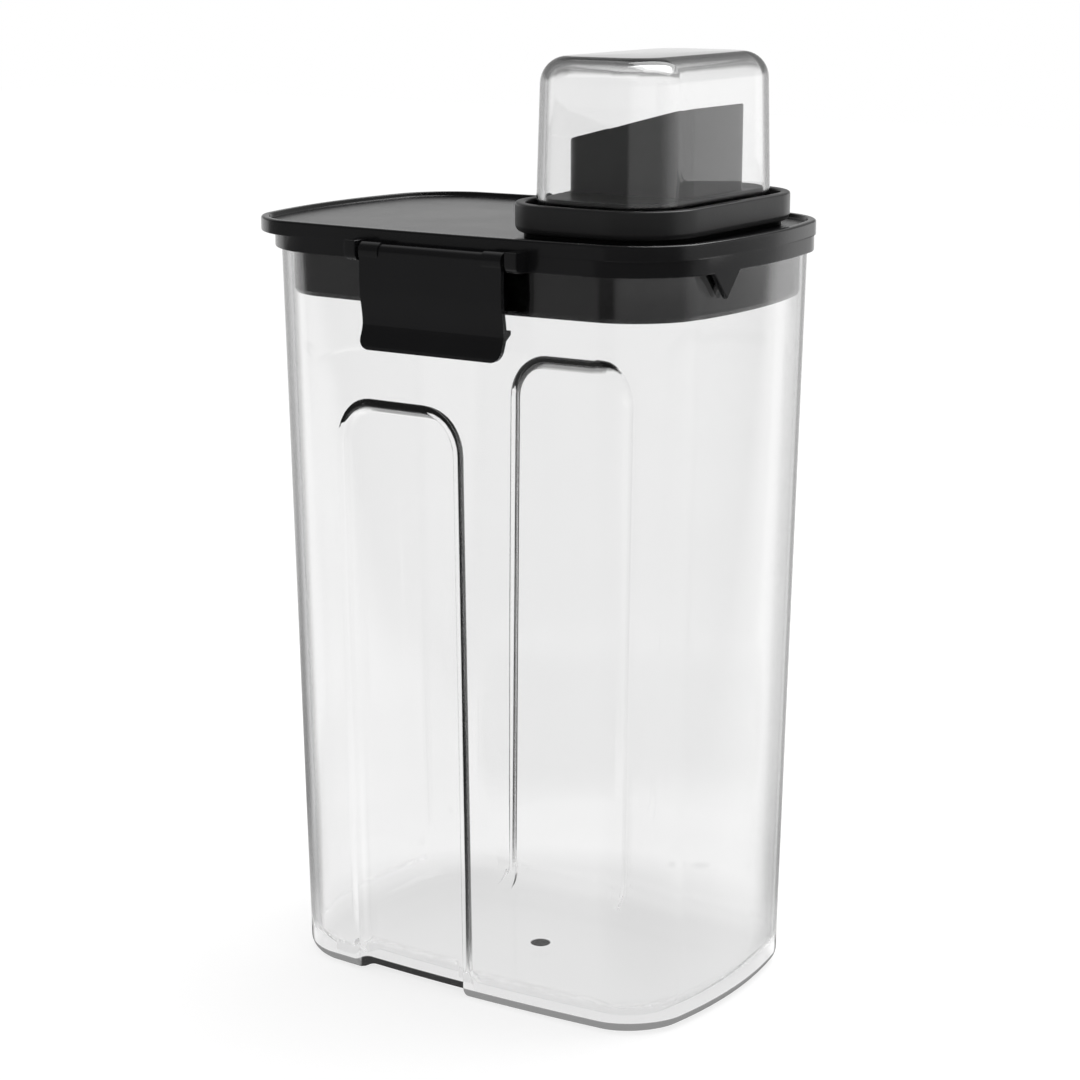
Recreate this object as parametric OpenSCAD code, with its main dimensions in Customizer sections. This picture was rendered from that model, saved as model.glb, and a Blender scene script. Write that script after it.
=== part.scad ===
// Dry-food container: tall clear body with hand grips, latched lid with a
// slanted pouring spout, and a clear measuring cup that covers the spout.
// Millimetres. +Z up, spout towards +X, the seen latch towards -Y,
// origin at the middle of the footprint.

/* [Clear body] */
// Half length of the body at the lid ring, at the middle of an end
half_len = 90; // [80:0.5:100]
// Half depth of the body at the lid ring, at the middle of a side
half_dep = 62; // [56:0.5:68]
// Plan corner radius at the lid ring
corner_r = 24.7; // [18:0.1:30]
// How far each short end bows out over its corners
end_bow = 8; // [0:0.5:10]
// How far each long side bows out over its corners
side_bow = 3.2; // [0:0.1:5]
// Inward draft per millimetre of depth
draft = 0.018; // [0.005:0.001:0.025]
// Height of the body rim
body_h = 276.5; // [240:0.5:300]
// Wall thickness
wall = 2.8; // [2:0.1:3.5]
// Floor thickness
floor_t = 3.2; // [2.5:0.1:5]
// Outer radius between wall and floor
base_r = 5; // [3:0.5:7]
// Inner radius between wall and floor
inner_r = 9; // [5:0.5:12]

/* [Hand grips] */
// Distance from the left end of the body to the grip recess
grip_end = 38; // [34:0.5:46]
// Length of the grip recess
grip_len = 54; // [44:0.5:64]
// How far the top of the recess lies below the body rim
grip_down = 59; // [50:0.5:90]
// Depth of the grip recess
grip_dep = 5; // [3:0.25:6]
// Radius of its top corners
grip_r = 14; // [8:0.5:20]
// How much wider the recess is at the surface than at its floor
grip_flare = 1.6; // [0.5:0.1:3]

/* [Latch catch on the body] */
// Half length of the catch rib
catch_half = 25; // [18:0.5:27]
// How far the underside of the catch rib lies below the body rim
catch_down = 25.2; // [24.5:0.1:25.4]
// How far the rib's edge stands out past the body's side at the ring
catch_out = 1.2; // [0.8:0.05:1.2]

/* [Lid] */
// How far the outer ring reaches down past the body rim
ring_down = 5.9; // [5:0.1:6.4]
// Height of the lid's rim over the body rim
rim_up = 4.8; // [4.4:0.1:6]
// Outer face of the ring beyond the body
ring_off = 2.2; // [1.8:0.1:3]
// Gap between the ring and the body
ring_gap = 0.5; // [0.4:0.05:0.8]
// How far the recessed panel lies below the lid's rim
panel_down = 1.5; // [1:0.1:2]
// Panel thickness
panel_t = 2.3; // [1.8:0.1:2.8]
// Width of the raised rim
rim_w = 2.6; // [1.8:0.1:4]
// Reach of the lifting lip past the ring
lip_reach = 5; // [3:0.5:8]
// Height of the lifting lip's underside over the ring's lower edge
lip_up = 5.5; // [4:0.1:7]
// How far the plug dips into the body past its rim
plug_down = 21.7; // [16:0.1:26]
// Gap between the plug and the body wall
plug_gap = 1; // [0.8:0.05:1.4]
// Plug wall thickness
plug_t = 2.4; // [2:0.1:3]

/* [Spout and collar] */
// Distance from the middle of the spout to the container's end
spout_end = 43.2; // [42:0.1:46]
// Half length of the collar
collar_a = 34.6; // [33:0.1:36]
// Distance from the body's side to the collar
collar_side = 9; // [8:0.1:12]
// Plan corner radius of the collar
collar_r = 23; // [20:0.5:25]
// Height of the collar over the lid panel
collar_h = 11.6; // [9:0.1:14]
// Height of the island inside the collar over the lid panel
island_h = 13.2; // [11:0.1:15]
// Gap between the spout tube and the cup at its rim
tube_gap = 2.3; // [2.1:0.1:5]
// Half depth of the spout tube
tube_b = 21.6; // [18:0.1:24]
// Corner radius of the spout tube
tube_r = 6; // [4:0.5:8]
// Wall of the spout tube
tube_t = 2; // [1.6:0.1:2.6]
// How far the middle of the mouth lies below the cup's top
mouth_down = 23; // [20:0.5:28]
// Slope of the mouth in degrees
mouth_tilt = 14.3; // [5:0.1:20]

/* [Measuring cup] */
// How far the cup lies inside the collar's outer face
cup_in = 6.5; // [5.5:0.05:6.6]
// Plan corner radius of the cup
cup_r = 18.5; // [16:0.5:20]
// Inward draft of the cup per millimetre of height
cup_draft = 0.03; // [0.01:0.002:0.034]
// Height of the cup over the collar
cup_h = 48.6; // [44:0.1:54]
// Radius between the cup's wall and its top
cup_edge = 9; // [6:0.5:12]
// Cup wall thickness
cup_t = 2.5; // [2:0.1:2.5]

/* [Latches] */
// Half width of the latch plate
plate_half = 29.4; // [28.5:0.1:29.8]
// Distance of the hinge axis from the body's side at the ring
hinge_out = 5.8; // [5.6:0.05:6.2]
// How far the hinge axis lies below the body rim
hinge_down = 2.4; // [1.9:0.1:2.7]
// Radius of the end knuckles
knuckle_r = 3.3; // [2.8:0.05:3.35]
// Length of each end knuckle
knuckle_len = 8; // [6:0.5:10]
// Radius of the stub axles
axle_r = 1.5; // [1.2:0.05:1.6]
// Plate thickness
plate_t = 1.9; // [1.6:0.1:2.2]
// How far the plate's lower edge lies below the body rim
plate_down = 36.1; // [34.5:0.1:39]
// Radius of the plate's lower corners
plate_r = 4; // [2:0.5:6]

/* [Hidden] */

$fn = 48;
// Steps of a plan corner, and points along a long side and a short end.
corner_steps = 8;
side_steps = 6;
end_steps = 4;
eps = 0.01;

// Grip recess: its ends and its top.
grip_x0 = grip_end - half_len;
grip_x1 = grip_x0 + grip_len;
grip_top = body_h - grip_down;

// Gate dimple under the floor and the recess that leaves a standing ring.
gate_r = 3.8;
gate_dep = 1;
foot_dep = 0.8;
foot_w = 7;

// Catch rib: underside, edge, heights of its edge and of its top over the underside, and
// where it roots.
catch_z = body_h - catch_down;
catch_u = half_dep + catch_out;
catch_edge = 0.9;
catch_h = 3.6;
catch_root = half_dep - 2;

// Heights of the lid.
ring_z = body_h - ring_down;
rim_z = body_h + rim_up;
panel_z = rim_z - panel_down;
lip_z = ring_z + lip_up;
plug_z = body_h - plug_down;

// Outer face of the plug inside the body's outer face.
plug_off = wall + plug_gap;

// Small rounds and leads of the lid.
edge = 0.8;
plug_lead = 1.6;
lip_r = corner_r - 3.5;
lip_bow = end_bow + 1.4;

// Groove and ring of the lid gasket.
gasket_z = body_h - 5;
gasket_h = 4;
gasket_in = 1.2;
lip_gap = 0.15;

// Pour mark that hangs from the ring at the spout end.
mark_y = -27.5;
mark_w = 15;
mark_h = 9;

// Hinge axis of a latch, and the ears that carry it.
hinge_u = half_dep + hinge_out;
hinge_z = body_h - hinge_down;
ear_x = plate_half + 1.5;
ear_w = 4.7;
ear_u = hinge_u + 3.2;
ear_h = 3.6;
bore_gap = 0.06;
axle_len = 3.6;
ear_r = 3;

// Collar section: place, wall, foot, groove floor and island.
spout_x = half_len - spout_end;
collar_b = half_dep - collar_side;
collar_z = panel_z + collar_h;
island_z = panel_z + island_h;
collar_t = 3.6;
foot_in = 3;
collar_foot_z = panel_z + 1.6;
groove_z = panel_z + 2.4;
island_gap = 0.4;
island_t = 2;
snap_out = 5.6;
snap_t = 1.8;
snap_z = panel_z - 6.4;
snap_half = 16;
snap_bead = 0.9;

// Seals of the insert and of the cup.
seal_t = 1;
seal_w = 1.5;
cup_seal_z = groove_z + 3.8;
cup_seal_h = 2.6;
cup_seal_in = 0.9;

// Cup outline at the collar's top, its top, its rim in the collar's groove, and its bows.
cup_a = collar_a - cup_in;
cup_b = collar_b - cup_in;
cup_top = collar_z + cup_h;
cup_rim = groove_z + 1.2;
cup_end_bow = 0.6;
cup_side_bow = 0.3;

// Spout tube: half length, and height of the middle of its mouth.
tube_a = cup_a - cup_t - tube_gap;
mouth_z = cup_top - mouth_down;

// Latch: hook, waist and flare of the plate.
hook_tip = catch_u + 0.3;
hook_top = catch_z - 0.7;
hook_nose = 1.4;
hook_drop = 5.4;
bar_r = 2.8;
plate_u = hinge_u + bar_r;
plate_z = body_h - plate_down;
waist_z = catch_z - 1.7;
waist_in = 1.5;
waist_run = 12;
flare_out = 2.5;
plate_step = 1.2;

// One plan corner: arc of radius r about [cx, cy] starting at angle a0.
function arc(cx, cy, r, a0) =
    [for (i = [0:corner_steps]) [cx + r * cos(a0 + 90 * i / corner_steps),
                                 cy + r * sin(a0 + 90 * i / corner_steps)]];

// Points strictly between p and q.
function between(p, q, n) = [for (i = [1:n - 1]) p + (q - p) * i / n];

// Rounded rectangle of half sizes a and b and corner radius r, counterclockwise.
function rounded(a, b, r) =
    concat(arc(a - r, r - b, r, -90),
           between([a, r - b], [a, b - r], end_steps),
           arc(a - r, b - r, r, 0),
           between([a - r, b], [r - a, b], side_steps),
           arc(r - a, b - r, r, 90),
           between([-a, b - r], [-a, r - b], end_steps),
           arc(r - a, r - b, r, 180),
           between([r - a, -b], [a - r, -b], side_steps));

// The same outline with bowed ends and sides, as every moulding here has it.
function bowed(a, b, r, eb, sb) =
    [for (p = rounded(a, b, r))
        [p[0] - sign(p[0]) * eb * pow(p[1] / b, 2) * abs(p[0]) / a,
         p[1] - sign(p[1]) * sb * pow(p[0] / a, 2) * abs(p[1]) / b]];

function lift(pts, z) = [for (p = pts) [p[0], p[1], z]];
function shift_x(pts, dx) = [for (p = pts) [p[0] + dx, p[1]]];

// Body outline grown by off, and how far the draft takes it in at height z.
function body_plan(off) =
    bowed(half_len + off, half_dep + off, corner_r + off, end_bow, side_bow);
function drafted(z) = -draft * (ring_z - z);

// Outline of the lifting lip, reaching past the ring on the left end only.
function lip_plan(off) =
    shift_x(bowed(half_len + ring_off + lip_reach / 2 + off, half_dep + ring_off + off,
                  lip_r + off, lip_bow, side_bow), -lip_reach / 2);

// Collar outline and cup outline grown by off.
function collar_plan(off) =
    shift_x(bowed(collar_a + off, collar_b + off, collar_r + off, cup_end_bow, cup_side_bow),
            spout_x);
function cup_plan(off) =
    shift_x(bowed(cup_a + off, cup_b + off, cup_r + off, cup_end_bow, cup_side_bow), spout_x);

// Outline of the island that the cup slips over, grown by off.
function island_plan(off) = cup_plan(off - cup_t - island_gap);

// Two triangles for each side face between ring k and ring m.
function band(k, m, n) =
    [for (i = [0:n - 1]) each [[k * n + i, m * n + i, m * n + (i + 1) % n],
                               [k * n + i, m * n + (i + 1) % n, k * n + (i + 1) % n]]];

// Solid through a stack of rings, closed by flat ends.
module loft(rings) {
    n = len(rings[0]);
    last = len(rings) - 1;
    polyhedron(
        points = [for (r = rings) each r],
        faces = concat([[for (i = [0:n - 1]) i]],
                       [for (k = [0:last - 1]) each band(k, k + 1, n)],
                       [[for (i = [n - 1:-1:0]) last * n + i]]),
        convexity = 6);
}

// Closed section carried round an outline: each ring is one corner of the section.
module sweep(rings) {
    n = len(rings[0]);
    m = len(rings);
    polyhedron(
        points = [for (r = rings) each r],
        faces = [for (k = [0:m - 1]) each band(k, (k + 1) % m, n)],
        convexity = 8);
}

// Solid of the body outline from height z0 to z1, grown by off, with a lower edge radius.
module body_form(off, z0, z1, r) {
    steps = 5;
    loft(concat(
        [for (i = [0:steps])
            let (a = 90 * i / steps, z = z0 + r * (1 - cos(a)))
            lift(body_plan(off + drafted(z) - r * (1 - sin(a))), z)],
        [lift(body_plan(off + drafted(z1)), z1)]));
}

// Upright block behind which a hand grip lies, wider at the surface than at its floor.
module grip_block(grow) {
    hull() {
        for (step = [[0, half_dep - 12], [grip_flare, half_dep + 6]])
            translate([0, step[1], 0])
                rotate([90, 0, 0])
                    linear_extrude(eps)
                        grip_outline(grow + step[0]);
    }
}

module grip_outline(grow) {
    r = grip_r + grow;
    for (x = [grip_x0 - grow + r, grip_x1 + grow - r])
        translate([x, grip_top + grow - r])
            circle(r, $fn = 32);
    translate([grip_x0 - grow, -1 - grow])
        square([grip_x1 - grip_x0 + 2 * grow, grip_top - grip_r + 1 + grow]);
}

// Both grips, front and rear.
module grips(grow) {
    grip_block(grow);
    mirror([0, 1, 0])
        grip_block(grow);
}

// Catch rib of the rear side: flat underside, sloped top that the hook rides over.
module catch_rib() {
    translate([-catch_half, 0, 0])
        rotate([90, 0, 90])
            linear_extrude(2 * catch_half)
                polygon([[catch_root, catch_z], [catch_u, catch_z],
                         [catch_u, catch_z + catch_edge],
                         [half_dep - 1, catch_z + catch_h],
                         [catch_root, catch_z + catch_h]]);
}

module body_shell() {
    difference() {
        body_form(0, 0, body_h, base_r);
        difference() {
            grips(0);
            body_form(-grip_dep, -10, body_h, base_r);
        }
        difference() {
            body_form(-wall, floor_t, body_h + 1, inner_r);
            difference() {
                grips(wall);
                body_form(-wall - grip_dep, floor_t - 10, body_h + 2, inner_r);
            }
        }
    }
}

module body() {
    color([0.9, 0.94, 0.96, 0.45])
    difference() {
        union() {
            body_shell();
            intersection() {
                union() {
                    catch_rib();
                    mirror([0, 1, 0])
                        catch_rib();
                }
                difference() {
                    body_form(catch_h + 4, catch_z - 10, body_h, 1);
                    body_form(-wall / 2, catch_z - 20, body_h + 1, 1);
                }
            }
        }
        translate([0, 0, -eps])
            linear_extrude(foot_dep + eps)
                polygon(body_plan(drafted(0) - base_r - foot_w - grip_dep));
        translate([0, 0, -eps])
            cylinder(h = foot_dep + gate_dep + eps, r = gate_r);
    }
}

// Lid top before it is hollowed: ring with the lifting lip.
module lid_block() {
    loft([lift(body_plan(ring_off - edge / 2), ring_z),
          lift(body_plan(ring_off), ring_z + edge / 2),
          lift(body_plan(ring_off), rim_z - edge),
          lift(body_plan(ring_off - edge * 0.3), rim_z - edge * 0.3),
          lift(body_plan(ring_off - edge), rim_z)]);
    loft([lift(lip_plan(-2), lip_z),
          lift(lip_plan(-edge), lip_z + edge * 0.3),
          lift(lip_plan(0), lip_z + 1.5),
          lift(lip_plan(0), rim_z - edge),
          lift(lip_plan(-edge * 0.3), rim_z - edge * 0.3),
          lift(lip_plan(-edge), rim_z)]);
}

// Shallow tray that the raised rim goes round.
module lid_tray() {
    for (plan = [[body_plan(ring_off - rim_w - 0.5), body_plan(ring_off - rim_w)],
                 [lip_plan(-rim_w - 0.5), lip_plan(-rim_w)]])
        loft([lift(plan[0], panel_z), lift(plan[1], rim_z - edge * 0.3),
              lift(plan[1], rim_z + 1)]);
}

// Plug that dips into the body, with a lead at its lower edge and the gasket's groove.
module plug() {
    out = -plug_off;
    inn = -plug_off - plug_t;
    top = panel_z - panel_t + eps;
    sweep([lift(body_plan(out - 1), plug_z),
           lift(body_plan(out), plug_z + plug_lead),
           lift(body_plan(out), gasket_z),
           lift(body_plan(out - gasket_in), gasket_z),
           lift(body_plan(out - gasket_in), gasket_z + gasket_h),
           lift(body_plan(out), gasket_z + gasket_h),
           lift(body_plan(out), top),
           lift(body_plan(inn), top),
           lift(body_plan(inn), plug_z + plug_lead / 2),
           lift(body_plan(out - 1.6), plug_z)]);
}

// One pair of ears on the rear side, bored blind for the stub axles.
module ears() {
    for (s = [-1, 1])
        translate([s * (ear_x + ear_w / 2), 0, 0])
            rotate([90, 0, 90])
                translate([0, 0, -ear_w / 2])
                    linear_extrude(ear_w)
                        ear_outline();
}

module ear_outline() {
    root = half_dep;
    translate([root, hinge_z - ear_h + ear_r])
        square([ear_u - root, 2 * ear_h - ear_r]);
    translate([root, hinge_z - ear_h])
        square([ear_u - root - ear_r, ear_r + 1]);
    translate([ear_u - ear_r, hinge_z - ear_h + ear_r])
        circle(ear_r);
}

module ear_bores() {
    depth = axle_len + 0.6;
    for (s = [-1, 1])
        translate([s * (ear_x - 1 + (depth + 1) / 2), hinge_u, hinge_z])
            rotate([0, 90, 0])
                cylinder(h = depth + 1, r = axle_r + bore_gap, center = true);
}

// Pointed mark under the ring at the spout end.
module pour_mark() {
    intersection() {
        difference() {
            loft([lift(body_plan(ring_off), ring_z - mark_h - 1),
                  lift(body_plan(ring_off), ring_z + edge)]);
            loft([lift(body_plan(ring_gap), ring_z - mark_h - 2),
                  lift(body_plan(ring_gap), ring_z + 2)]);
        }
        translate([half_len - 12, mark_y, ring_z])
            rotate([90, 0, 90])
                linear_extrude(20)
                    polygon([[-mark_w / 2, 0], [0, -mark_h], [mark_w / 2, 0],
                             [mark_w / 2, edge], [-mark_w / 2, edge]]);
    }
}

module lid() {
    color([0.1, 0.1, 0.11])
    difference() {
        union() {
            difference() {
                lid_block();
                lid_tray();
                loft([lift(body_plan(ring_gap), ring_z - 1),
                      lift(body_plan(ring_gap), panel_z - panel_t)]);
            }
            plug();
            ears();
            mirror([0, 1, 0])
                ears();
            pour_mark();
        }
        ear_bores();
        mirror([0, 1, 0])
            ear_bores();
        translate([0, 0, panel_z - panel_t - 1])
            linear_extrude(panel_t + 2)
                polygon(collar_plan(-snap_out + 0.2));
        insert_gasket_groove();
    }
}

// Silicone ring in the plug's groove, with two lips towards the body wall.
module lid_gasket() {
    back = -plug_off - gasket_in + 0.05;
    face = -plug_off;
    tip = -wall - lip_gap;
    z0 = gasket_z + 0.05;
    h = gasket_h - 0.1;
    color([0.75, 0.76, 0.77])
    sweep([lift(body_plan(back), z0),
           lift(body_plan(face), z0),
           lift(body_plan(tip), z0 + h * 0.2),
           lift(body_plan(face), z0 + h * 0.4),
           lift(body_plan(face), z0 + h * 0.6),
           lift(body_plan(tip), z0 + h * 0.8),
           lift(body_plan(face), z0 + h),
           lift(body_plan(back), z0 + h)]);
}

// Section of collar, groove, island and snap skirt, carried round the collar outline.
module insert_section() {
    top = collar_z;
    inner = -collar_t;
    sweep([lift(collar_plan(-foot_in), panel_z),
           lift(collar_plan(-foot_in), collar_foot_z),
           lift(collar_plan(-1.4), collar_foot_z + 0.1),
           lift(collar_plan(-0.4), collar_foot_z + 0.9),
           lift(collar_plan(0), collar_foot_z + 2.2),
           lift(collar_plan(0), top - 0.9),
           lift(collar_plan(-0.3), top - 0.3),
           lift(collar_plan(-0.9), top),
           lift(collar_plan(inner + 0.9), top),
           lift(collar_plan(inner + 0.3), top - 0.3),
           lift(collar_plan(inner), top - 0.9),
           lift(collar_plan(inner), groove_z),
           lift(island_plan(0), groove_z),
           lift(island_plan(0), cup_seal_z),
           lift(island_plan(-cup_seal_in), cup_seal_z),
           lift(island_plan(-cup_seal_in), cup_seal_z + cup_seal_h),
           lift(island_plan(0), cup_seal_z + cup_seal_h),
           lift(island_plan(0), island_z - 0.8),
           lift(island_plan(-0.8), island_z),
           lift(island_plan(-4), island_z),
           lift(island_plan(-4), island_z - 2),
           lift(island_plan(-cup_seal_in - island_t + 0.4), island_z - 2),
           lift(island_plan(-cup_seal_in - island_t + 0.4), panel_z + 0.6),
           lift(collar_plan(-snap_out - snap_t), panel_z - 0.4),
           lift(collar_plan(-snap_out - snap_t), snap_z),
           lift(collar_plan(-snap_out), snap_z),
           lift(collar_plan(-snap_out), panel_z)]);
}

// Rounded rectangle of exact arcs.
module round_rect(a, b, r) {
    square([2 * a, 2 * (b - r)], center = true);
    square([2 * (a - r), 2 * b], center = true);
    for (x = [r - a, a - r], y = [r - b, b - r])
        translate([x, y])
            circle(r);
}

// Snap beads under the panel on the long sides of the skirt.
module snap_beads() {
    y = collar_b - snap_out;
    z = panel_z - panel_t - 0.2;
    for (s = [0, 1])
        mirror([0, s, 0])
            translate([spout_x - snap_half, 0, 0])
                rotate([90, 0, 90])
                    linear_extrude(2 * snap_half)
                        polygon([[y - 1, z], [y + snap_bead, z], [y + snap_bead, z - 0.7],
                                 [y - 0.3, z - 2.8], [y - 1, z - 2.8]]);
}

module spout_insert() {
    reach = 2 * collar_b;
    color([0.2, 0.2, 0.21])
    difference() {
        union() {
            insert_section();
            translate([0, 0, island_z - 2])
                linear_extrude(2)
                    polygon(island_plan(-3));
            translate([spout_x, 0, island_z - 2])
                linear_extrude(mouth_z + 10 - island_z)
                    round_rect(tube_a, tube_b, tube_r);
            snap_beads();
        }
        translate([spout_x, 0, snap_z])
            linear_extrude(cup_top - snap_z)
                round_rect(tube_a - tube_t, tube_b - tube_t, tube_r - tube_t);
        translate([spout_x, 0, mouth_z])
            rotate([0, -mouth_tilt, 0])
                translate([-reach / 2, -reach / 2, 0])
                    cube([reach, reach, reach]);
    }
}

// Flat silicone ring between the insert's foot and the lid panel.
module insert_gasket_groove() {
    translate([0, 0, panel_z - seal_t])
        linear_extrude(seal_t + 1)
            difference() {
                polygon(collar_plan(-foot_in - 0.4));
                polygon(collar_plan(-foot_in - 0.4 - seal_w));
            }
}

module insert_gasket() {
    color([0.75, 0.76, 0.77])
    translate([0, 0, panel_z - seal_t])
        linear_extrude(seal_t)
            difference() {
                polygon(collar_plan(-foot_in - 0.45));
                polygon(collar_plan(-foot_in - 0.35 - seal_w));
            }
}

// Silicone ring round the island that the cup slips over.
module cup_seal() {
    z0 = cup_seal_z + 0.05;
    h = cup_seal_h - 0.1;
    color([0.75, 0.76, 0.77])
    sweep([lift(island_plan(0.05 - cup_seal_in), z0),
           lift(island_plan(0), z0),
           lift(island_plan(island_gap - 0.05), z0 + h / 2),
           lift(island_plan(0), z0 + h),
           lift(island_plan(0.05 - cup_seal_in), z0 + h)]);
}

// Cup outline in height: straight drafted wall, then a round to the flat top.
module cup_form(off, z0, z1, r) {
    steps = 6;
    function taper(z) = -cup_draft * (z - collar_z);
    loft(concat(
        [lift(cup_plan(off + taper(z0)), z0)],
        [for (i = [0:steps])
            let (a = 90 * i / steps, z = z1 - r * (1 - sin(a)))
            lift(cup_plan(off + taper(z) - r * (1 - cos(a))), z)]));
}

module cup() {
    color([0.9, 0.94, 0.96, 0.45])
    difference() {
        cup_form(0, cup_rim, cup_top, cup_edge);
        cup_form(-cup_t, cup_rim - 1, cup_top - cup_t, cup_edge - cup_t);
    }
}

// Smooth step from 0 to 1.
function ease(t) = let (u = min(max(t, 0), 1)) u * u * (3 - 2 * u);

// Outer face of the latch plate over height: straight, drawn in to the waist, flared lip.
function plate_face(z) =
    plate_u - waist_in * ease((waist_z + waist_run - z) / waist_run)
    + flare_out * ease((waist_z - z) / (waist_z - plate_z));

module latch_section() {
    count = round((hinge_z - plate_z) / plate_step);
    outer = [for (i = [0:count]) let (z = hinge_z - i * (hinge_z - plate_z) / count)
             [plate_face(z), z]];
    inner = [for (i = [count:-1:0]) [outer[i][0] - plate_t, outer[i][1]]];
    polygon(concat(outer, inner));
}

module latch() {
    span = plate_half - knuckle_len;
    intersection() {
        translate([-plate_half, 0, 0])
            rotate([90, 0, 90])
                linear_extrude(2 * plate_half)
                    latch_section();
        translate([0, hinge_u + 10, 0])
            rotate([90, 0, 0])
                linear_extrude(20) {
                    translate([-plate_half, plate_z + plate_r])
                        square([2 * plate_half, 40]);
                    translate([plate_r - plate_half, plate_z])
                        square([2 * (plate_half - plate_r), 10]);
                    for (s = [-1, 1])
                        translate([s * (plate_half - plate_r), plate_z + plate_r])
                            circle(plate_r);
                }
    }
    translate([-plate_half + 0.8, 0, 0])
        rotate([90, 0, 90])
            linear_extrude(2 * plate_half - 1.6)
                polygon([[plate_face(hook_top) - plate_t / 2, hook_top],
                         [hook_tip, hook_top],
                         [hook_tip, hook_top - hook_nose],
                         [plate_face(hook_top - hook_drop) - plate_t / 2, hook_top - hook_drop]]);
    translate([0, hinge_u, hinge_z])
        rotate([0, 90, 0]) {
            cylinder(h = 2 * span + 1, r = bar_r, center = true);
            cylinder(h = 2 * (ear_x + axle_len), r = axle_r, center = true);
            for (s = [-1, 1])
                translate([0, 0, s * (span + knuckle_len / 2)])
                    cylinder(h = knuckle_len, r = knuckle_r, center = true);
        }
}

module latch_rear() {
    color([0.14, 0.14, 0.15])
        latch();
}

module latch_front() {
    color([0.14, 0.14, 0.15])
        mirror([0, 1, 0])
            latch();
}

// The lifting lip reaches past the ring on one end, so the footprint's middle lies
// half its reach from the body's middle.
module place() {
    translate([lip_reach / 2, 0, 0])
        children();
}

place() body();
place() lid();
place() lid_gasket();
place() spout_insert();
place() insert_gasket();
place() cup_seal();
place() cup();
place() latch_front();
place() latch_rear();
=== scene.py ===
import math
import bmesh
import bpy
import numpy as np
from mathutils import Matrix, Vector


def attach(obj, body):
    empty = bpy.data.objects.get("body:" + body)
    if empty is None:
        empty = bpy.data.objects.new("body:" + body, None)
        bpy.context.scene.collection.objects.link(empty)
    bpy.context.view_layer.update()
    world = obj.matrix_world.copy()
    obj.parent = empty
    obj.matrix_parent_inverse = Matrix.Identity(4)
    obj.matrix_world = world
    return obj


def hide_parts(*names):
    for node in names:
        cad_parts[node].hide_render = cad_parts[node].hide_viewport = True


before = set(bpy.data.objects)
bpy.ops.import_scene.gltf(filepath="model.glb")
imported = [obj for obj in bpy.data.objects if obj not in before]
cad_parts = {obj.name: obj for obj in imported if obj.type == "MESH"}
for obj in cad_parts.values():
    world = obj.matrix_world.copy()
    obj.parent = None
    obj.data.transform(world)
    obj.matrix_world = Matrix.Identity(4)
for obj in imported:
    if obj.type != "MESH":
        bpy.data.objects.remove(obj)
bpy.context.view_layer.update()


# ---- Container body ---------------------------------------------------------------------
# The tall container: clear styrene-acrylonitrile (SAN), injection moulded in one piece with
# polished steel. Every wall is 2.8 mm thick, also round the grip recess in each long side,
# so the inside follows the outside. It stands on a low ring round its hollowed floor.

MM = 0.001
HALF_LENGTH, HALF_DEPTH, CORNER = 90.0, 62.0, 24.7
END_BOW, SIDE_BOW = 8.0, 3.2
MIDDLE = 2.5            # the lid's lifting lip puts the middle of the footprint off the body's
DRAFT = 0.018
RIM, WALL, FLOOR = 276.5, 2.8, 3.2
RING_FOOT = 270.6       # lower edge of the lid's ring, where the body's sizes are taken
BASE_ROUND, INNER_ROUND = 5.0, 9.0
GRIP_LEFT, GRIP_RIGHT, GRIP_TOP = -52.0, 2.0, 217.5
GRIP_DEPTH, GRIP_ROUND = 5.0, 14.0
CATCH_FOOT, CATCH_EDGE, CATCH_TOP, CATCH_HALF, CATCH_OUT = 251.3, 252.2, 254.9, 25.0, 1.5
CORNER_STEPS, END_STEPS = 18, 10


def linear(code):
    """Scene-linear colour of an sRGB hex value."""
    srgb = [int(code[i:i + 2], 16) / 255 for i in (1, 3, 5)]
    return tuple(c / 12.92 if c <= 0.04045 else ((c + 0.055) / 1.055) ** 2.4 for c in srgb) + (1,)


def add(tree, kind, inputs=None, **settings):
    """Adds a node, sets it, and feeds each named or numbered input from a value or a socket."""
    node = tree.nodes.new(kind)
    for key, value in settings.items():
        setattr(node, key, value)
    for key, value in (inputs or {}).items():
        if isinstance(value, bpy.types.NodeSocket):
            tree.links.new(value, node.inputs[key])
        else:
            node.inputs[key].default_value = value
    return node


def new_material(name):
    """A material with an empty node tree, and that tree."""
    material = bpy.data.materials.new(name)
    material.use_nodes = True
    material.node_tree.nodes.clear()
    return material, material.node_tree


def bow(x, y, half_x, half_y, end_bow, side_bow):
    """Pulls the corners in, so that the ends and the sides of an outline bow out."""
    return (x * (1 - end_bow * (y / half_y) ** 2 / half_x),
            y * (1 - side_bow * (x / half_x) ** 2 / half_y))


def ledge(drop, outer, inner, slant, steps=9):
    """Edge of a recess as (way in, depth) pairs: a round, a steep wall, a second round."""
    turn = math.atan2(drop, slant)
    first = [(-outer + outer * math.sin(turn * i / steps), outer * (1 - math.cos(turn * i / steps)))
             for i in range(steps + 1)]
    last = [(inner * (1 - math.sin(turn * i / steps)), drop - inner * (1 - math.cos(turn * i / steps)))
            for i in range(steps, -1, -1)]
    shift = first[-1][0] + (last[0][1] - first[-1][1]) / math.tan(turn) - last[0][0]
    return first + [(d + shift, h) for d, h in last]


def grip_lines(radius, edge, room):
    """Grid lines across a grip's edge, as distances out from the middle of its top corner."""
    within = [radius - edge[-1][0]]
    inside = [within[0] * t for t in (0.0, 0.3, 0.6, 0.85)]
    over = radius - edge[0][0]
    outside = [over + (room - over) * t for t in (0.12, 0.3, 0.5, 0.75, 1.0)]
    return inside + [radius - d for d, h in reversed(edge)] + outside


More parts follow.
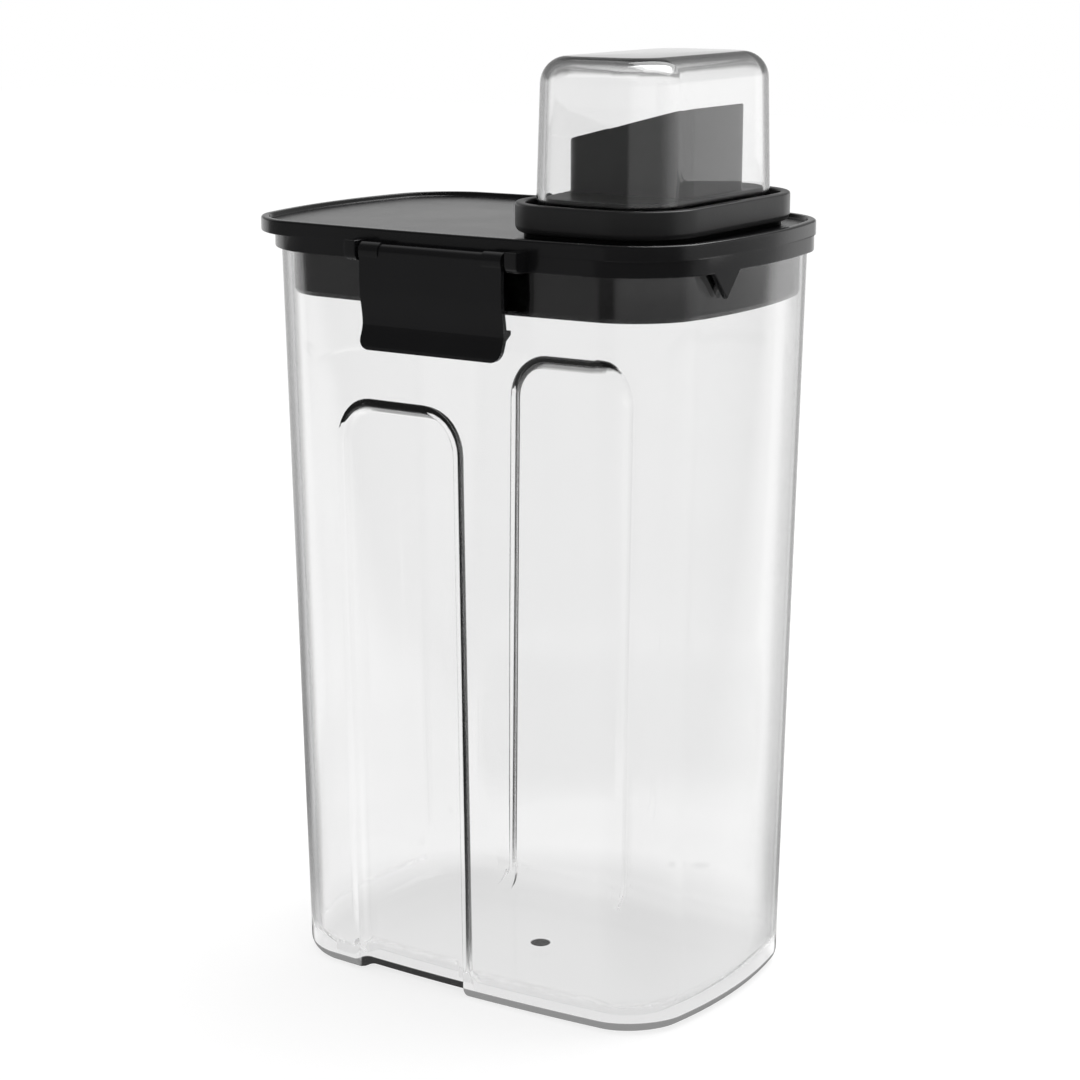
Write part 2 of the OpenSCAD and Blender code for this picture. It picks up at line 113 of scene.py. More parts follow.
def side_places(radius, edge):
    """Where the grid's columns cross a long side, from left to right."""
    end = HALF_LENGTH - CORNER
    left, right = GRIP_LEFT + GRIP_ROUND, GRIP_RIGHT - GRIP_ROUND
    to_left = [left - u for u in grip_lines(radius, edge, left + end)]
    to_right = [right + u for u in grip_lines(radius, edge, radius + 12)]
    between = [left + (right - left) * i / 6 for i in range(1, 6)]
    after = [to_right[-1] + (end - to_right[-1]) * t for t in (0.2, 0.4, 0.6, 0.8, 1.0)]
    catch = [-CATCH_HALF - 0.1, CATCH_HALF + 0.1, -CATCH_HALF + 0.1, CATCH_HALF - 0.1]
    return sorted(to_left + between + to_right + after + catch)


def wall_heights(radius, edge, foot):
    """Heights of the grid's rows on the wall, above the round at its foot."""
    corner = GRIP_TOP - GRIP_ROUND
    low = [foot + (corner - foot) * t for t in (0.0, 0.04, 0.12, 0.25, 0.4, 0.55, 0.7, 0.82, 0.92)]
    over = [corner + v for v in grip_lines(radius, edge, radius + 12)]
    high = [240.0, 247.0, CATCH_FOOT - 0.02, CATCH_FOOT, CATCH_EDGE, CATCH_TOP, 262.0, 269.0]
    return low + over + high


def bend_round(u, v, radius):
    """Square grid lines beyond a grip's top corner, bent into arcs near its edge."""
    reach = np.maximum(np.maximum(u, v), 1e-9)
    low = np.maximum(np.minimum(u, v), 0)
    angle = np.where(v <= u, math.pi / 4 * low / reach, math.pi / 2 - math.pi / 4 * low / reach)
    t = np.clip((reach - radius - 3.3) / 6.5, 0, 1)
    keep = (1 - t * t * (3 - 2 * t)) * ((u > 0) & (v > 0))
    return (u + keep * (reach * np.cos(angle) - u), v + keep * (reach * np.sin(angle) - v))


def wall_grid(inner):
    """Rows of points over one side of the wall, from its foot round to the rim."""
    grow = WALL if inner else 0.0
    radius = GRIP_ROUND + grow
    edge = ledge(GRIP_DEPTH, 0.4, 4.3, 0.15) if inner else ledge(GRIP_DEPTH, 1.5, 3.0, 0.15)
    foot_round, foot = (INNER_ROUND, FLOOR) if inner else (BASE_ROUND, 0.0)
    side = np.array(side_places(radius, edge))
    heights = wall_heights(radius, edge, foot + foot_round)
    rounds = [foot + foot_round * (1 - math.cos(math.pi / 2 * i / 8)) for i in range(8)]
    heights = np.array(rounds + heights + [RIM - 1.2, RIM - 0.5, RIM - 0.12, RIM])
    steps = np.linspace(0, math.pi / 2, CORNER_STEPS + 1)[1:-1]
    ends = np.linspace(-1, 1, END_STEPS + 1) * (HALF_DEPTH - CORNER)
    a, b = HALF_LENGTH - CORNER, HALF_DEPTH - CORNER

    def block(x, y, nx, ny):
        return np.stack(np.broadcast_arrays(x, y, nx, ny), 1).astype(float)

    columns = np.concatenate([
        block(side, -b, 0, -1), block(a, -b, np.sin(steps), -np.cos(steps)),
        block(a, ends, 1, 0), block(a, b, np.cos(steps), np.sin(steps)),
        block(side[::-1], b, 0, 1), block(-a, b, -np.sin(steps), np.cos(steps)),
        block(-a, ends[::-1], -1, 0), block(-a, -b, -np.cos(steps), -np.sin(steps))])

    def plain_ring(off, height):
        """The body's outline grown by off, without the grips, on the same columns."""
        cx, cy, wx, wy = columns.T
        px, py = bow(cx + (CORNER + off) * wx, cy + (CORNER + off) * wy,
                     HALF_LENGTH + off, HALF_DEPTH + off, END_BOW, SIDE_BOW)
        return np.column_stack([px + MIDDLE, py, np.full(len(px), height)])

    x, y, nx, ny = (np.tile(column, (len(heights), 1)) for column in columns.T)
    z = np.tile(heights[:, None], (1, len(columns)))

    # On the long sides the grid bends round the grip's corners, and the depth follows it.
    on_side = nx == 0
    centre = (GRIP_LEFT + GRIP_RIGHT) / 2
    half = (GRIP_RIGHT - GRIP_LEFT) / 2 - GRIP_ROUND
    out = np.abs(x - centre) - half
    up = z - (GRIP_TOP - GRIP_ROUND)
    bent_out, bent_up = bend_round(out, up, radius)
    x = np.where(on_side & (out > 0), centre + np.sign(x - centre) * (half + bent_out), x)
    z = np.where(on_side & (up > 0), GRIP_TOP - GRIP_ROUND + bent_up, z)
    reach = np.where((bent_out > 0) & (bent_up > 0), np.hypot(bent_out, bent_up),
                     np.maximum(bent_out, bent_up))
    ways, drops = zip(*edge)
    depth = np.where(on_side, np.interp(radius - reach, ways, drops), 0.0)

    off = -DRAFT * (RING_FOOT - z) - grow - depth
    low = np.clip((foot + foot_round - z) / foot_round, 0, 1)
    off -= foot_round * (1 - np.sqrt(1 - low ** 2))
    rim_round = np.interp(z, [RIM - 1.2, RIM - 0.5, RIM - 0.12, RIM], [0, 0.1, 0.45, 0.9])
    off += rim_round if inner else -rim_round
    if not inner:
        rise = np.interp(z, [CATCH_FOOT - 0.01, CATCH_FOOT, CATCH_EDGE, CATCH_TOP],
                         [0, CATCH_OUT, CATCH_OUT, 0], left=0, right=0)
        off += np.where(on_side & (np.abs(x) < CATCH_HALF), rise, 0)
    px, py = bow(x + (CORNER + off) * nx, y + (CORNER + off) * ny,
                 HALF_LENGTH + off, HALF_DEPTH + off, END_BOW, SIDE_BOW)
    return np.stack([px + MIDDLE, py, z], 2), plain_ring


def disc(ring, radius, z):
    """A round ring with one point for each point of another ring."""
    way = ring[:, :2] - [MIDDLE, 0]
    way = way / np.linalg.norm(way, axis=1)[:, None] * radius
    return np.column_stack([way[:, 0] + MIDDLE, way[:, 1], np.full(len(ring), z)])


def shrunk(ring, share, z):
    """A ring drawn in towards the middle of the floor."""
    x, y = (ring[:, 0] - MIDDLE) * share + MIDDLE, ring[:, 1] * share
    return np.column_stack([x, y, np.full(len(ring), z)])


def skin(name, rings, material):
    """Closed surface over rings of points, in millimetres, shut at both ends by a fan."""
    count = len(rings[0])
    first, last = rings[0].mean(0), rings[-1].mean(0)
    points = np.concatenate(list(rings) + [first[None], last[None]]) * MM
    faces = [(k * count + i, k * count + (i + 1) % count,
              (k + 1) * count + (i + 1) % count, (k + 1) * count + i)
             for k in range(len(rings) - 1) for i in range(count)]
    top = (len(rings) - 1) * count
    faces += [(len(points) - 2, (i + 1) % count, i) for i in range(count)]
    faces += [(len(points) - 1, top + i, top + (i + 1) % count) for i in range(count)]
    mesh = bpy.data.meshes.new(name)
    mesh.from_pydata(points.tolist(), [], faces)
    return smoothed(name, mesh, material)


def smoothed(name, mesh, material, angle=38):
    """Object with smooth faces, crisp edges over an angle, and normals that keep flats flat."""
    mesh.materials.clear()
    mesh.materials.append(material)
    piece = bpy.data.objects.new(name, mesh)
    bpy.context.scene.collection.objects.link(piece)
    form = bmesh.new()
    form.from_mesh(mesh)
    bmesh.ops.remove_doubles(form, verts=form.verts, dist=1e-6)
    bmesh.ops.dissolve_degenerate(form, edges=form.edges, dist=1e-6)
    if form.calc_volume(signed=True) < 0:
        bmesh.ops.reverse_faces(form, faces=form.faces)
    for part in form.faces:
        part.material_index = 0
    form.to_mesh(mesh)
    form.free()
    mesh.shade_smooth()
    mesh.set_sharp_from_angle(angle=math.radians(angle))
    even = piece.modifiers.new("even_normals", "WEIGHTED_NORMAL")
    even.keep_sharp = True
    return baked(piece)


def baked(piece):
    """Turns a piece with modifiers into a plain mesh of the same name."""
    deps = bpy.context.evaluated_depsgraph_get()
    plain = bpy.data.meshes.new_from_object(piece.evaluated_get(deps))
    name, old = piece.name, piece.data
    bpy.data.objects.remove(piece)
    if old.users == 0:
        bpy.data.meshes.remove(old)
    piece = bpy.data.objects.new(name, plain)
    bpy.context.scene.collection.objects.link(piece)
    return piece


# Clear SAN from polished steel: water-clear, IOR 1.57. Where a wall is seen at a grazing angle
# its colour is painted grey, and back faces seen at a slant get a painted dark share: painted shade
# for the long way light goes through the wall and for light caught inside it, so edges and
# corners read grey. Flow waves 40 mm apart and wipe marks 11 mm apart and finer soften the
# reflections.
san, tree = new_material("clear_san_moulded")
texture = add(tree, "ShaderNodeTexCoord").outputs
place = texture["Object"]
at = add(tree, "ShaderNodeSeparateXYZ", {0: place}).outputs
wipe = add(tree, "ShaderNodeTexNoise", {"Vector": place, "Scale": 90.0, "Detail": 3.0,
                                        "Roughness": 0.6})
haze = add(tree, "ShaderNodeMapRange", {"Value": wipe.outputs["Fac"],
                                        "From Min": 0.35, "From Max": 0.75,
                                        "To Min": 0.0, "To Max": 0.01})
flow = add(tree, "ShaderNodeTexNoise", {"Vector": place, "Scale": 25.0, "Detail": 1.0})
wave = add(tree, "ShaderNodeBump", {"Height": flow.outputs["Fac"], "Strength": 0.02,
                                    "Distance": 0.0004})
tint = add(tree, "ShaderNodeMix", {"Factor": flow.outputs["Fac"], "A": linear("#ffffff"),
                                   "B": linear("#fdfdfd")}, data_type="RGBA")
# Painted shade: the base colour turns grey where the wall is seen at a grazing angle.
facing = add(tree, "ShaderNodeLayerWeight", {"Blend": 0.5}).outputs["Facing"]
grazing_shade_share = add(tree, "ShaderNodeMapRange", {"Value": facing, "From Min": 0.5, "From Max": 0.95},
               interpolation_type="SMOOTHSTEP")
tint_with_painted_edge_shade = add(tree, "ShaderNodeMix", {"Factor": grazing_shade_share.outputs["Result"], "A": tint.outputs["Result"],
                                     "B": linear("#9f9f9f")}, data_type="RGBA")
plastic = add(tree, "ShaderNodeBsdfPrincipled", {
    "Base Color": tint_with_painted_edge_shade.outputs["Result"], "Roughness": haze.outputs["Result"],
    "Transmission Weight": 1.0, "IOR": 1.57, "Normal": wave.outputs["Normal"]})
# Painted shade: back faces seen at a slant mix in a dark matt share, more of it higher up the wall.
within = add(tree, "ShaderNodeNewGeometry").outputs["Backfacing"]
beyond = add(tree, "ShaderNodeMapRange", {"Value": facing, "From Min": 0.2, "From Max": 0.26})
high = add(tree, "ShaderNodeMapRange", {"Value": at["Z"], "From Min": 0.006, "From Max": 0.03,
                                        "To Min": 0.15, "To Max": 0.6})
share = add(tree, "ShaderNodeMath", {0: beyond.outputs["Result"], 1: high.outputs["Result"]},
            operation="MULTIPLY")
painted_inner_shade = add(tree, "ShaderNodeMath", {0: share.outputs[0], 1: within}, operation="MULTIPLY")

# Low in the foot, where wall turns into floor, light goes nearly straight through it. Only
# the steep edges of the grips still bend it there.
STRAIGHT_BELOW, BENT_ABOVE = 8.5, 13.5
GRIP_WALL, LEDGE_REACH = 53.5, 5.0      # half depth of the foot at the grips, width of their edges
GRIP_CENTRE, GRIP_HALF = (GRIP_LEFT + GRIP_RIGHT) / 2, (GRIP_RIGHT - GRIP_LEFT) / 2
outward = add(tree, "ShaderNodeSeparateXYZ", {0: texture["Normal"]}).outputs["Z"]
tilt = add(tree, "ShaderNodeMath", {0: outward}, operation="ABSOLUTE")
level_part = add(tree, "ShaderNodeMapRange", {"Value": tilt.outputs[0],
                                              "From Min": 0.3, "From Max": 0.95})
let_by = add(tree, "ShaderNodeMix", {"Factor": level_part.outputs["Result"], "A": linear("#fefefe"),
                                     "B": linear("#fafafa")}, data_type="RGBA")
# Painted shade: upright faces in the foot seen edge-on are painted grey as an outline.
edge_on = add(tree, "ShaderNodeMapRange", {"Value": facing, "From Min": 0.72, "From Max": 0.93},
              interpolation_type="SMOOTHSTEP")
upright = add(tree, "ShaderNodeMapRange", {"Value": tilt.outputs[0], "From Min": 0.5, "From Max": 0.85,
                                           "To Min": 1.0, "To Max": 0.0})
painted_outline_share = add(tree, "ShaderNodeMath", {0: edge_on.outputs["Result"], 1: upright.outputs["Result"]},
                   operation="MULTIPLY")
foot_tint_with_painted_outline = add(tree, "ShaderNodeMix", {"Factor": painted_outline_share.outputs[0], "A": let_by.outputs["Result"],
                                     "B": linear("#707070")}, data_type="RGBA")
straight = add(tree, "ShaderNodeBsdfTransparent", {"Color": foot_tint_with_painted_outline.outputs["Result"]})
glance = add(tree, "ShaderNodeMapRange", {"Value": facing, "From Min": 0.6, "From Max": 1.0,
                                          "To Min": 0.02, "To Max": 0.15})
polish = add(tree, "ShaderNodeBsdfGlossy", {"Color": linear("#ffffff"), "Roughness": 0.03})
foot = add(tree, "ShaderNodeMixShader", {0: glance.outputs["Result"], 1: straight.outputs[0],
                                         2: polish.outputs[0]})
along = add(tree, "ShaderNodeMath", {0: at["X"], 1: (MIDDLE + GRIP_CENTRE) * MM}, operation="SUBTRACT")
apart = add(tree, "ShaderNodeMath", {0: along.outputs[0]}, operation="ABSOLUTE")
across = add(tree, "ShaderNodeMath", {0: at["Y"]}, operation="ABSOLUTE")
near_ledge = add(tree, "ShaderNodeMath", {0: apart.outputs[0], 1: GRIP_HALF * MM, 2: LEDGE_REACH * MM},
                 operation="COMPARE")
on_wall = add(tree, "ShaderNodeMath", {0: across.outputs[0], 1: (GRIP_WALL - 6) * MM},
              operation="GREATER_THAN")
off_round = add(tree, "ShaderNodeMath", {0: tilt.outputs[0], 1: 0.3}, operation="LESS_THAN")
on_ledge = add(tree, "ShaderNodeMath", {0: near_ledge.outputs[0], 1: on_wall.outputs[0]},
               operation="MULTIPLY")
ledge_part = add(tree, "ShaderNodeMath", {0: on_ledge.outputs[0], 1: off_round.outputs[0]},
                 operation="MULTIPLY")
low_part = add(tree, "ShaderNodeMapRange", {
    "Value": at["Z"], "From Min": STRAIGHT_BELOW * MM, "From Max": BENT_ABOVE * MM,
    "To Min": 1.0, "To Max": 0.0})
in_foot = add(tree, "ShaderNodeMath", {0: low_part.outputs["Result"], 1: ledge_part.outputs[0]},
              operation="SUBTRACT", use_clamp=True)
wall_or_foot = add(tree, "ShaderNodeMixShader", {0: in_foot.outputs[0], 1: plastic.outputs["BSDF"],
                                                 2: foot.outputs[0]})
above_foot = add(tree, "ShaderNodeMath", {0: 1.0, 1: in_foot.outputs[0]}, operation="SUBTRACT")
painted_inner_shade_above_foot = add(tree, "ShaderNodeMath", {0: painted_inner_shade.outputs[0], 1: above_foot.outputs[0]},
              operation="MULTIPLY")

# The gate's scar in the middle of the floor is dark, on the floor's upper face.
SCAR_DARK, SCAR_END, SCAR_DEPTH = 3.6, 4.1, 2.5
from_gate = add(tree, "ShaderNodeVectorMath", {0: place, 1: (MIDDLE * MM, 0, SCAR_DEPTH * MM)},
                operation="DISTANCE")
scar = add(tree, "ShaderNodeMapRange", {
    "Value": from_gate.outputs["Value"], "From Min": SCAR_DARK * MM, "From Max": SCAR_END * MM,
    "To Min": 1.0, "To Max": 0.0})
upper_face = add(tree, "ShaderNodeMapRange", {"Value": at["Z"], "From Min": 0.0012, "From Max": 0.0018})
spot = add(tree, "ShaderNodeMath", {0: scar.outputs["Result"], 1: upper_face.outputs["Result"]},
           operation="MULTIPLY")
scar_and_painted_shade_share = add(tree, "ShaderNodeMath", {0: painted_inner_shade_above_foot.outputs[0], 1: spot.outputs[0]}, operation="MAXIMUM")
# Dark matt shader for both the gate's scar and the painted shade inside the walls.
scar_and_painted_shade_dark = add(tree, "ShaderNodeBsdfDiffuse", {"Color": linear("#0a0a0a")})
clear = add(tree, "ShaderNodeMixShader", {0: scar_and_painted_shade_share.outputs[0], 1: wall_or_foot.outputs[0],
                                          2: scar_and_painted_shade_dark.outputs[0]})

# The edge it stands on has a frost finish a little higher than the floor, and is painted dark below the
# grips: painted shade of the grip recesses.
FROST_FULL, FROST_END = 4.4, 4.7
low = add(tree, "ShaderNodeMapRange", {
    "Value": at["Z"], "From Min": FROST_FULL * MM, "From Max": FROST_END * MM,
    "To Min": 0.95, "To Max": 0.0})
off_level = add(tree, "ShaderNodeMapRange", {"Value": tilt.outputs[0],
                                             "From Min": 0.9, "From Max": 0.97,
                                             "To Min": 1.0, "To Max": 0.0})
downward = add(tree, "ShaderNodeMapRange", {"Value": outward, "From Min": -0.03, "From Max": 0.03,
                                            "To Min": 1.0, "To Max": 0.0})
round_part = add(tree, "ShaderNodeMath", {0: downward.outputs["Result"], 1: off_level.outputs["Result"]},
                 operation="MULTIPLY")
edge_part = add(tree, "ShaderNodeMath", {0: low.outputs["Result"], 1: round_part.outputs[0]},
                operation="MULTIPLY")
outer_side = add(tree, "ShaderNodeMath", {0: 1.0, 1: within}, operation="SUBTRACT")
frost = add(tree, "ShaderNodeMath", {0: edge_part.outputs[0], 1: outer_side.outputs[0]},
            operation="MULTIPLY")
past = add(tree, "ShaderNodeMapRange", {
    "Value": across.outputs[0], "From Min": (GRIP_WALL - 0.5) * MM, "From Max": (GRIP_WALL + 0.5) * MM})
beside = add(tree, "ShaderNodeMapRange", {
    "Value": apart.outputs[0], "From Min": GRIP_HALF * MM, "From Max": (GRIP_HALF + 1.5) * MM})
clear_of_painted_grip_shade = add(tree, "ShaderNodeMath", {0: past.outputs["Result"], 1: beside.outputs["Result"]},
               operation="MAXIMUM")
# Painted shade: near black under the grips, frost grey elsewhere.
shade = add(tree, "ShaderNodeMix", {"Factor": clear_of_painted_grip_shade.outputs[0], "A": linear("#0a0a0a"),
                                    "B": linear("#909090")}, data_type="RGBA")
frost_and_painted_grip_shade = add(tree, "ShaderNodeBsdfDiffuse", {"Color": shade.outputs["Result"]})
footed = add(tree, "ShaderNodeMixShader", {0: frost.outputs[0], 1: clear.outputs[0],
                                           2: frost_and_painted_grip_shade.outputs[0]})
add(tree, "ShaderNodeOutputMaterial", {"Surface": footed.outputs[0]})

outside, under = wall_grid(inner=False)
inside, above = wall_grid(inner=True)
HOLLOW_IN, HOLLOW_DEEP = 21.7, 0.8      # hollow under the floor: how far in its edge lies, its depth
FLAT_IN = 24.5                          # edge of the flat floor, in from the wall's outline
foot_ring = under(-HOLLOW_IN, 0.0)
floor_rings = [disc(foot_ring, radius, HOLLOW_DEEP) for radius in (0.8, 6.0, 14.0)]
floor_rings += [shrunk(foot_ring, share, z) for share, z in
                ((0.7, HOLLOW_DEEP), (0.78, 0.74), (0.86, 0.56), (0.93, 0.28), (0.98, 0.07))]
floor_rings.append(foot_ring)
floor_top = above(-FLAT_IN, FLOOR)
gate_bowl = ((12.0, 0), (3.9, 0), (3.7, 0.06), (3.3, 0.3), (2.4, 0.62), (1.2, 0.78), (0.5, 0.8))
top_rings = [floor_top] + [disc(floor_top, radius, FLOOR - dip) for radius, dip in gate_bowl]
body = skin("container_body", floor_rings + list(outside) + list(inside[::-1]) + top_rings, san)
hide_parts("body")
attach(body, "container")


# ---- Lid --------------------------------------------------------------------------------
# The black lid: polypropylene (PP), injection moulded in one piece. Its ring goes round the
# body's rim, its plug dips into the body, its rim reaches out to a lifting lip on the left,
# and four ears on the long sides carry the latches.

BODY_PLAN = (HALF_LENGTH, HALF_DEPTH, CORNER, END_BOW, SIDE_BOW, MIDDLE)
RING_OUT, RING_GAP, LIP_REACH = 2.2, 0.5, 5.0
LIP_PLAN = (HALF_LENGTH + RING_OUT + LIP_REACH / 2, HALF_DEPTH + RING_OUT, CORNER - 3.5,
            END_BOW + 1.4, SIDE_BOW, MIDDLE - LIP_REACH / 2)
RING_PLAN = (HALF_LENGTH + RING_OUT, HALF_DEPTH + RING_OUT, CORNER + RING_OUT, END_BOW, SIDE_BOW,
             MIDDLE)
COLLAR_PLAN = (34.6, 53.0, 23.0, 0.6, 0.3, 49.3)
LIP_FOOT, RIM_TOP, PANEL, PANEL_UNDER = 276.1, 281.3, 279.8, 277.5
PLUG_FOOT, PLUG_IN, PLUG_THICK = 254.8, 3.8, 2.4
GROOVE_FOOT, GROOVE_TOP, GROOVE_DEEP = 271.5, 275.5, 1.2


def row(plan, off, z, slope=0.0):
    """One line of a moulding's section: an outline, how far out of it, at which height."""
    half_x, half_y, corner, end_bow, side_bow, middle = plan
    return (half_x + off, half_y + off, z, corner + off, end_bow, side_bow, middle, slope)


def mixed(plan_a, plan_b, share):
    """Outline part of the way from one plan to another."""
    return tuple(a + (b - a) * share for a, b in zip(plan_a, plan_b))


def outline_mesh(side, end, corner):
    """Points of a rounded outline: each holds its place along the straights and its way out."""
    places, ways = [], []
    for k, (sx, sy) in enumerate([(1, -1), (1, 1), (-1, 1), (-1, -1)]):
        for i in range(corner + 1):
            angle = math.radians(90 * (k - 1) + 90 * i / corner)
            places.append((sx, sy, 0))
            ways.append((math.cos(angle), math.sin(angle), 0))
        count = end if k % 2 == 0 else side
        way = ways[-1]
        for i in range(1, count):
            t = 1 - 2 * i / count
            places.append((sx, sy * t, 0) if k % 2 == 0 else (sx * t, sy, 0))
            ways.append(way)
    mesh = bpy.data.meshes.new("outline_points")
    mesh.from_pydata(places, [], [])
    mesh.attributes.new("way_out", "FLOAT_VECTOR", "POINT").data.foreach_set("vector", np.ravel(ways))
    points = bpy.data.objects.new("outline_points", mesh)
    bpy.context.scene.collection.objects.link(points)
    return points


def moulding_tree():
    """Geometry Nodes tree that carries a section round bowed, rounded outlines.

    The object's own points are the section's rows: position holds half length, half depth
    and height, and named attributes hold the corner radius, the bows, the middle, the slope."""
    group = bpy.data.node_groups.new("moulding_round_outline", "GeometryNodeTree")
    for name, kind in (("Rows", "Geometry"), ("Outline", "Object"), ("Unit", "Float"),
                       ("Material", "Material")):
        group.interface.new_socket(name, in_out="INPUT", socket_type="NodeSocket" + kind)
    group.interface.new_socket("Geometry", in_out="OUTPUT", socket_type="NodeSocketGeometry")
    given = add(group, "NodeGroupInput").outputs
    outline = add(group, "GeometryNodeObjectInfo", {"Object": given["Outline"]}).outputs["Geometry"]
    columns, rows = (
        add(group, "GeometryNodeAttributeDomainSize", {"Geometry": points}).outputs["Point Count"]
        for points in (outline, given["Rows"]))
    around = add(group, "ShaderNodeMath", {0: columns, 1: 1.0}, operation="ADD").outputs[0]
    grid = add(group, "GeometryNodeMeshGrid", {
        "Vertices X": around, "Vertices Y": rows}).outputs["Mesh"]
    index = add(group, "GeometryNodeInputIndex").outputs[0]
    step = add(group, "ShaderNodeMath", {0: index, 1: rows}, operation="DIVIDE").outputs[0]
    whole = add(group, "ShaderNodeMath", {0: step}, operation="FLOOR").outputs[0]
    column = add(group, "ShaderNodeMath", {0: whole, 1: columns}, operation="MODULO").outputs[0]
    line = add(group, "ShaderNodeMath", {0: index, 1: rows}, operation="MODULO").outputs[0]

    def sampled(geometry, where, kind, attribute=None):
        if attribute is None:
            value = add(group, "GeometryNodeInputPosition").outputs[0]
        else:
            value = add(group, "GeometryNodeInputNamedAttribute", {"Name": attribute},
                        data_type=kind).outputs["Attribute"]
        return add(group, "GeometryNodeSampleIndex", {
            "Geometry": geometry, "Value": value, "Index": where}, data_type=kind).outputs["Value"]

    at = sampled(outline, column, "FLOAT_VECTOR")
    way = sampled(outline, column, "FLOAT_VECTOR", "way_out")
    half = sampled(given["Rows"], line, "FLOAT_VECTOR")
    corner, end_bow, side_bow, middle, slope = (
        sampled(given["Rows"], line, "FLOAT", name)
        for name in ("corner", "end_bow", "side_bow", "middle", "slope"))

    # The rounded rectangle, from the centre of its corner outwards.
    reach = add(group, "ShaderNodeVectorMath", {0: half, 1: corner}, operation="SUBTRACT").outputs[0]
    centre = add(group, "ShaderNodeVectorMath", {0: at, 1: reach}, operation="MULTIPLY").outputs[0]
    round_out = add(group, "ShaderNodeVectorMath", {0: way, 1: corner}, operation="MULTIPLY").outputs[0]
    plain = add(group, "ShaderNodeVectorMath", {0: centre, 1: round_out}, operation="ADD").outputs[0]

    # The bows: ends and sides are pulled in by the square of the way along them.
    share = add(group, "ShaderNodeVectorMath", {0: plain, 1: half}, operation="DIVIDE").outputs[0]
    square = add(group, "ShaderNodeVectorMath", {0: share, 1: share}, operation="MULTIPLY").outputs[0]
    along = add(group, "ShaderNodeSeparateXYZ", {0: square}).outputs
    across = add(group, "ShaderNodeCombineXYZ", {0: along["Y"], 1: along["X"]}).outputs[0]
    bows = add(group, "ShaderNodeCombineXYZ", {0: end_bow, 1: side_bow}).outputs[0]
    bend = add(group, "ShaderNodeVectorMath", {0: bows, 1: across}, operation="MULTIPLY").outputs[0]
    loss = add(group, "ShaderNodeVectorMath", {0: bend, 1: half}, operation="DIVIDE").outputs[0]
    kept = add(group, "ShaderNodeVectorMath", {0: (1, 1, 1), 1: loss}, operation="SUBTRACT").outputs[0]
    bowed = add(group, "ShaderNodeVectorMath", {0: plain, 1: kept}, operation="MULTIPLY").outputs[0]

    # The row's height, with its slope along X, and its middle.
    plain_x = add(group, "ShaderNodeSeparateXYZ", {0: plain}).outputs["X"]
    height = add(group, "ShaderNodeSeparateXYZ", {0: half}).outputs["Z"]
    rise = add(group, "ShaderNodeMath", {0: slope, 1: plain_x}, operation="MULTIPLY").outputs[0]
    raised = add(group, "ShaderNodeMath", {0: height, 1: rise}, operation="ADD").outputs[0]
    shift = add(group, "ShaderNodeCombineXYZ", {0: middle, 2: raised}).outputs[0]
    spot = add(group, "ShaderNodeVectorMath", {0: bowed, 1: shift}, operation="ADD").outputs[0]
    scaled = add(group, "ShaderNodeVectorMath", {0: spot, "Scale": given["Unit"]},
                 operation="SCALE").outputs[0]
    placed = add(group, "GeometryNodeSetPosition", {"Geometry": grid, "Position": scaled}).outputs[0]
    closed = add(group, "GeometryNodeMergeByDistance", {
        "Geometry": placed, "Distance": 1e-6}).outputs[0]
    real = add(group, "GeometryNodeRealizeInstances", {"Geometry": closed}).outputs[0]
    painted = add(group, "GeometryNodeSetMaterial", {
        "Geometry": real, "Material": given["Material"]}).outputs[0]
    add(group, "NodeGroupOutput", {"Geometry": painted})
    return group


moulding = moulding_tree()
outline_points = outline_mesh(side=24, end=14, corner=14)


def moulded(name, rows, material, closed=True):
    """Piece made by the moulding tree from its section's rows, in millimetres."""
    table = np.array(list(rows) + ([rows[0]] if closed else []), float)
    mesh = bpy.data.meshes.new(name)
    mesh.from_pydata(table[:, :3].tolist(), [], [])
    for k, attribute in enumerate(("corner", "end_bow", "side_bow", "middle", "slope")):
        mesh.attributes.new(attribute, "FLOAT", "POINT").data.foreach_set("value", table[:, 3 + k])
    piece = bpy.data.objects.new(name, mesh)
    bpy.context.scene.collection.objects.link(piece)
    modifier = piece.modifiers.new("moulding", "NODES")
    modifier.node_group = moulding
    given = {"Outline": outline_points, "Unit": MM, "Material": material}
    for item in moulding.interface.items_tree:
        if item.in_out == "INPUT" and item.name in given:
            modifier[item.identifier] = given[item.name]
    piece = baked(piece)
    mesh = piece.data
    bpy.data.objects.remove(piece)
    return smoothed(name, mesh, material)


def joined(name, pieces, material):
    """One object from several."""
    form = bmesh.new()
    for piece in pieces:
        form.from_mesh(piece.data)
    mesh = bpy.data.meshes.new(name)
    form.to_mesh(mesh)
    form.free()
    for piece in pieces:
        bpy.data.objects.remove(piece)
    return smoothed(name, mesh, material)


def prism(name, outline, x0, x1, material, round_edges=0.0):
    """Outline in (y, z) pushed along X from x0 to x1, its edges broken by a small bevel."""
    form = bmesh.new()
    rings = [[form.verts.new((x * MM, y * MM, z * MM)) for y, z in outline] for x in (x0, x1)]
    form.faces.new(rings[0])
    form.faces.new(rings[1][::-1])
    for i in range(len(outline)):
        j = (i + 1) % len(outline)
        form.faces.new((rings[0][j], rings[0][i], rings[1][i], rings[1][j]))
    bmesh.ops.recalc_face_normals(form, faces=form.faces)
    if round_edges:
        crisp = [e for e in form.edges if e.calc_face_angle(0) > math.radians(38)]
        bmesh.ops.bevel(form, geom=crisp, offset=round_edges * MM, segments=3, profile=0.5,
                        affect="EDGES", clamp_overlap=True)
    mesh = bpy.data.meshes.new(name)
    form.to_mesh(mesh)
    form.free()
    return smoothed(name, mesh, material)


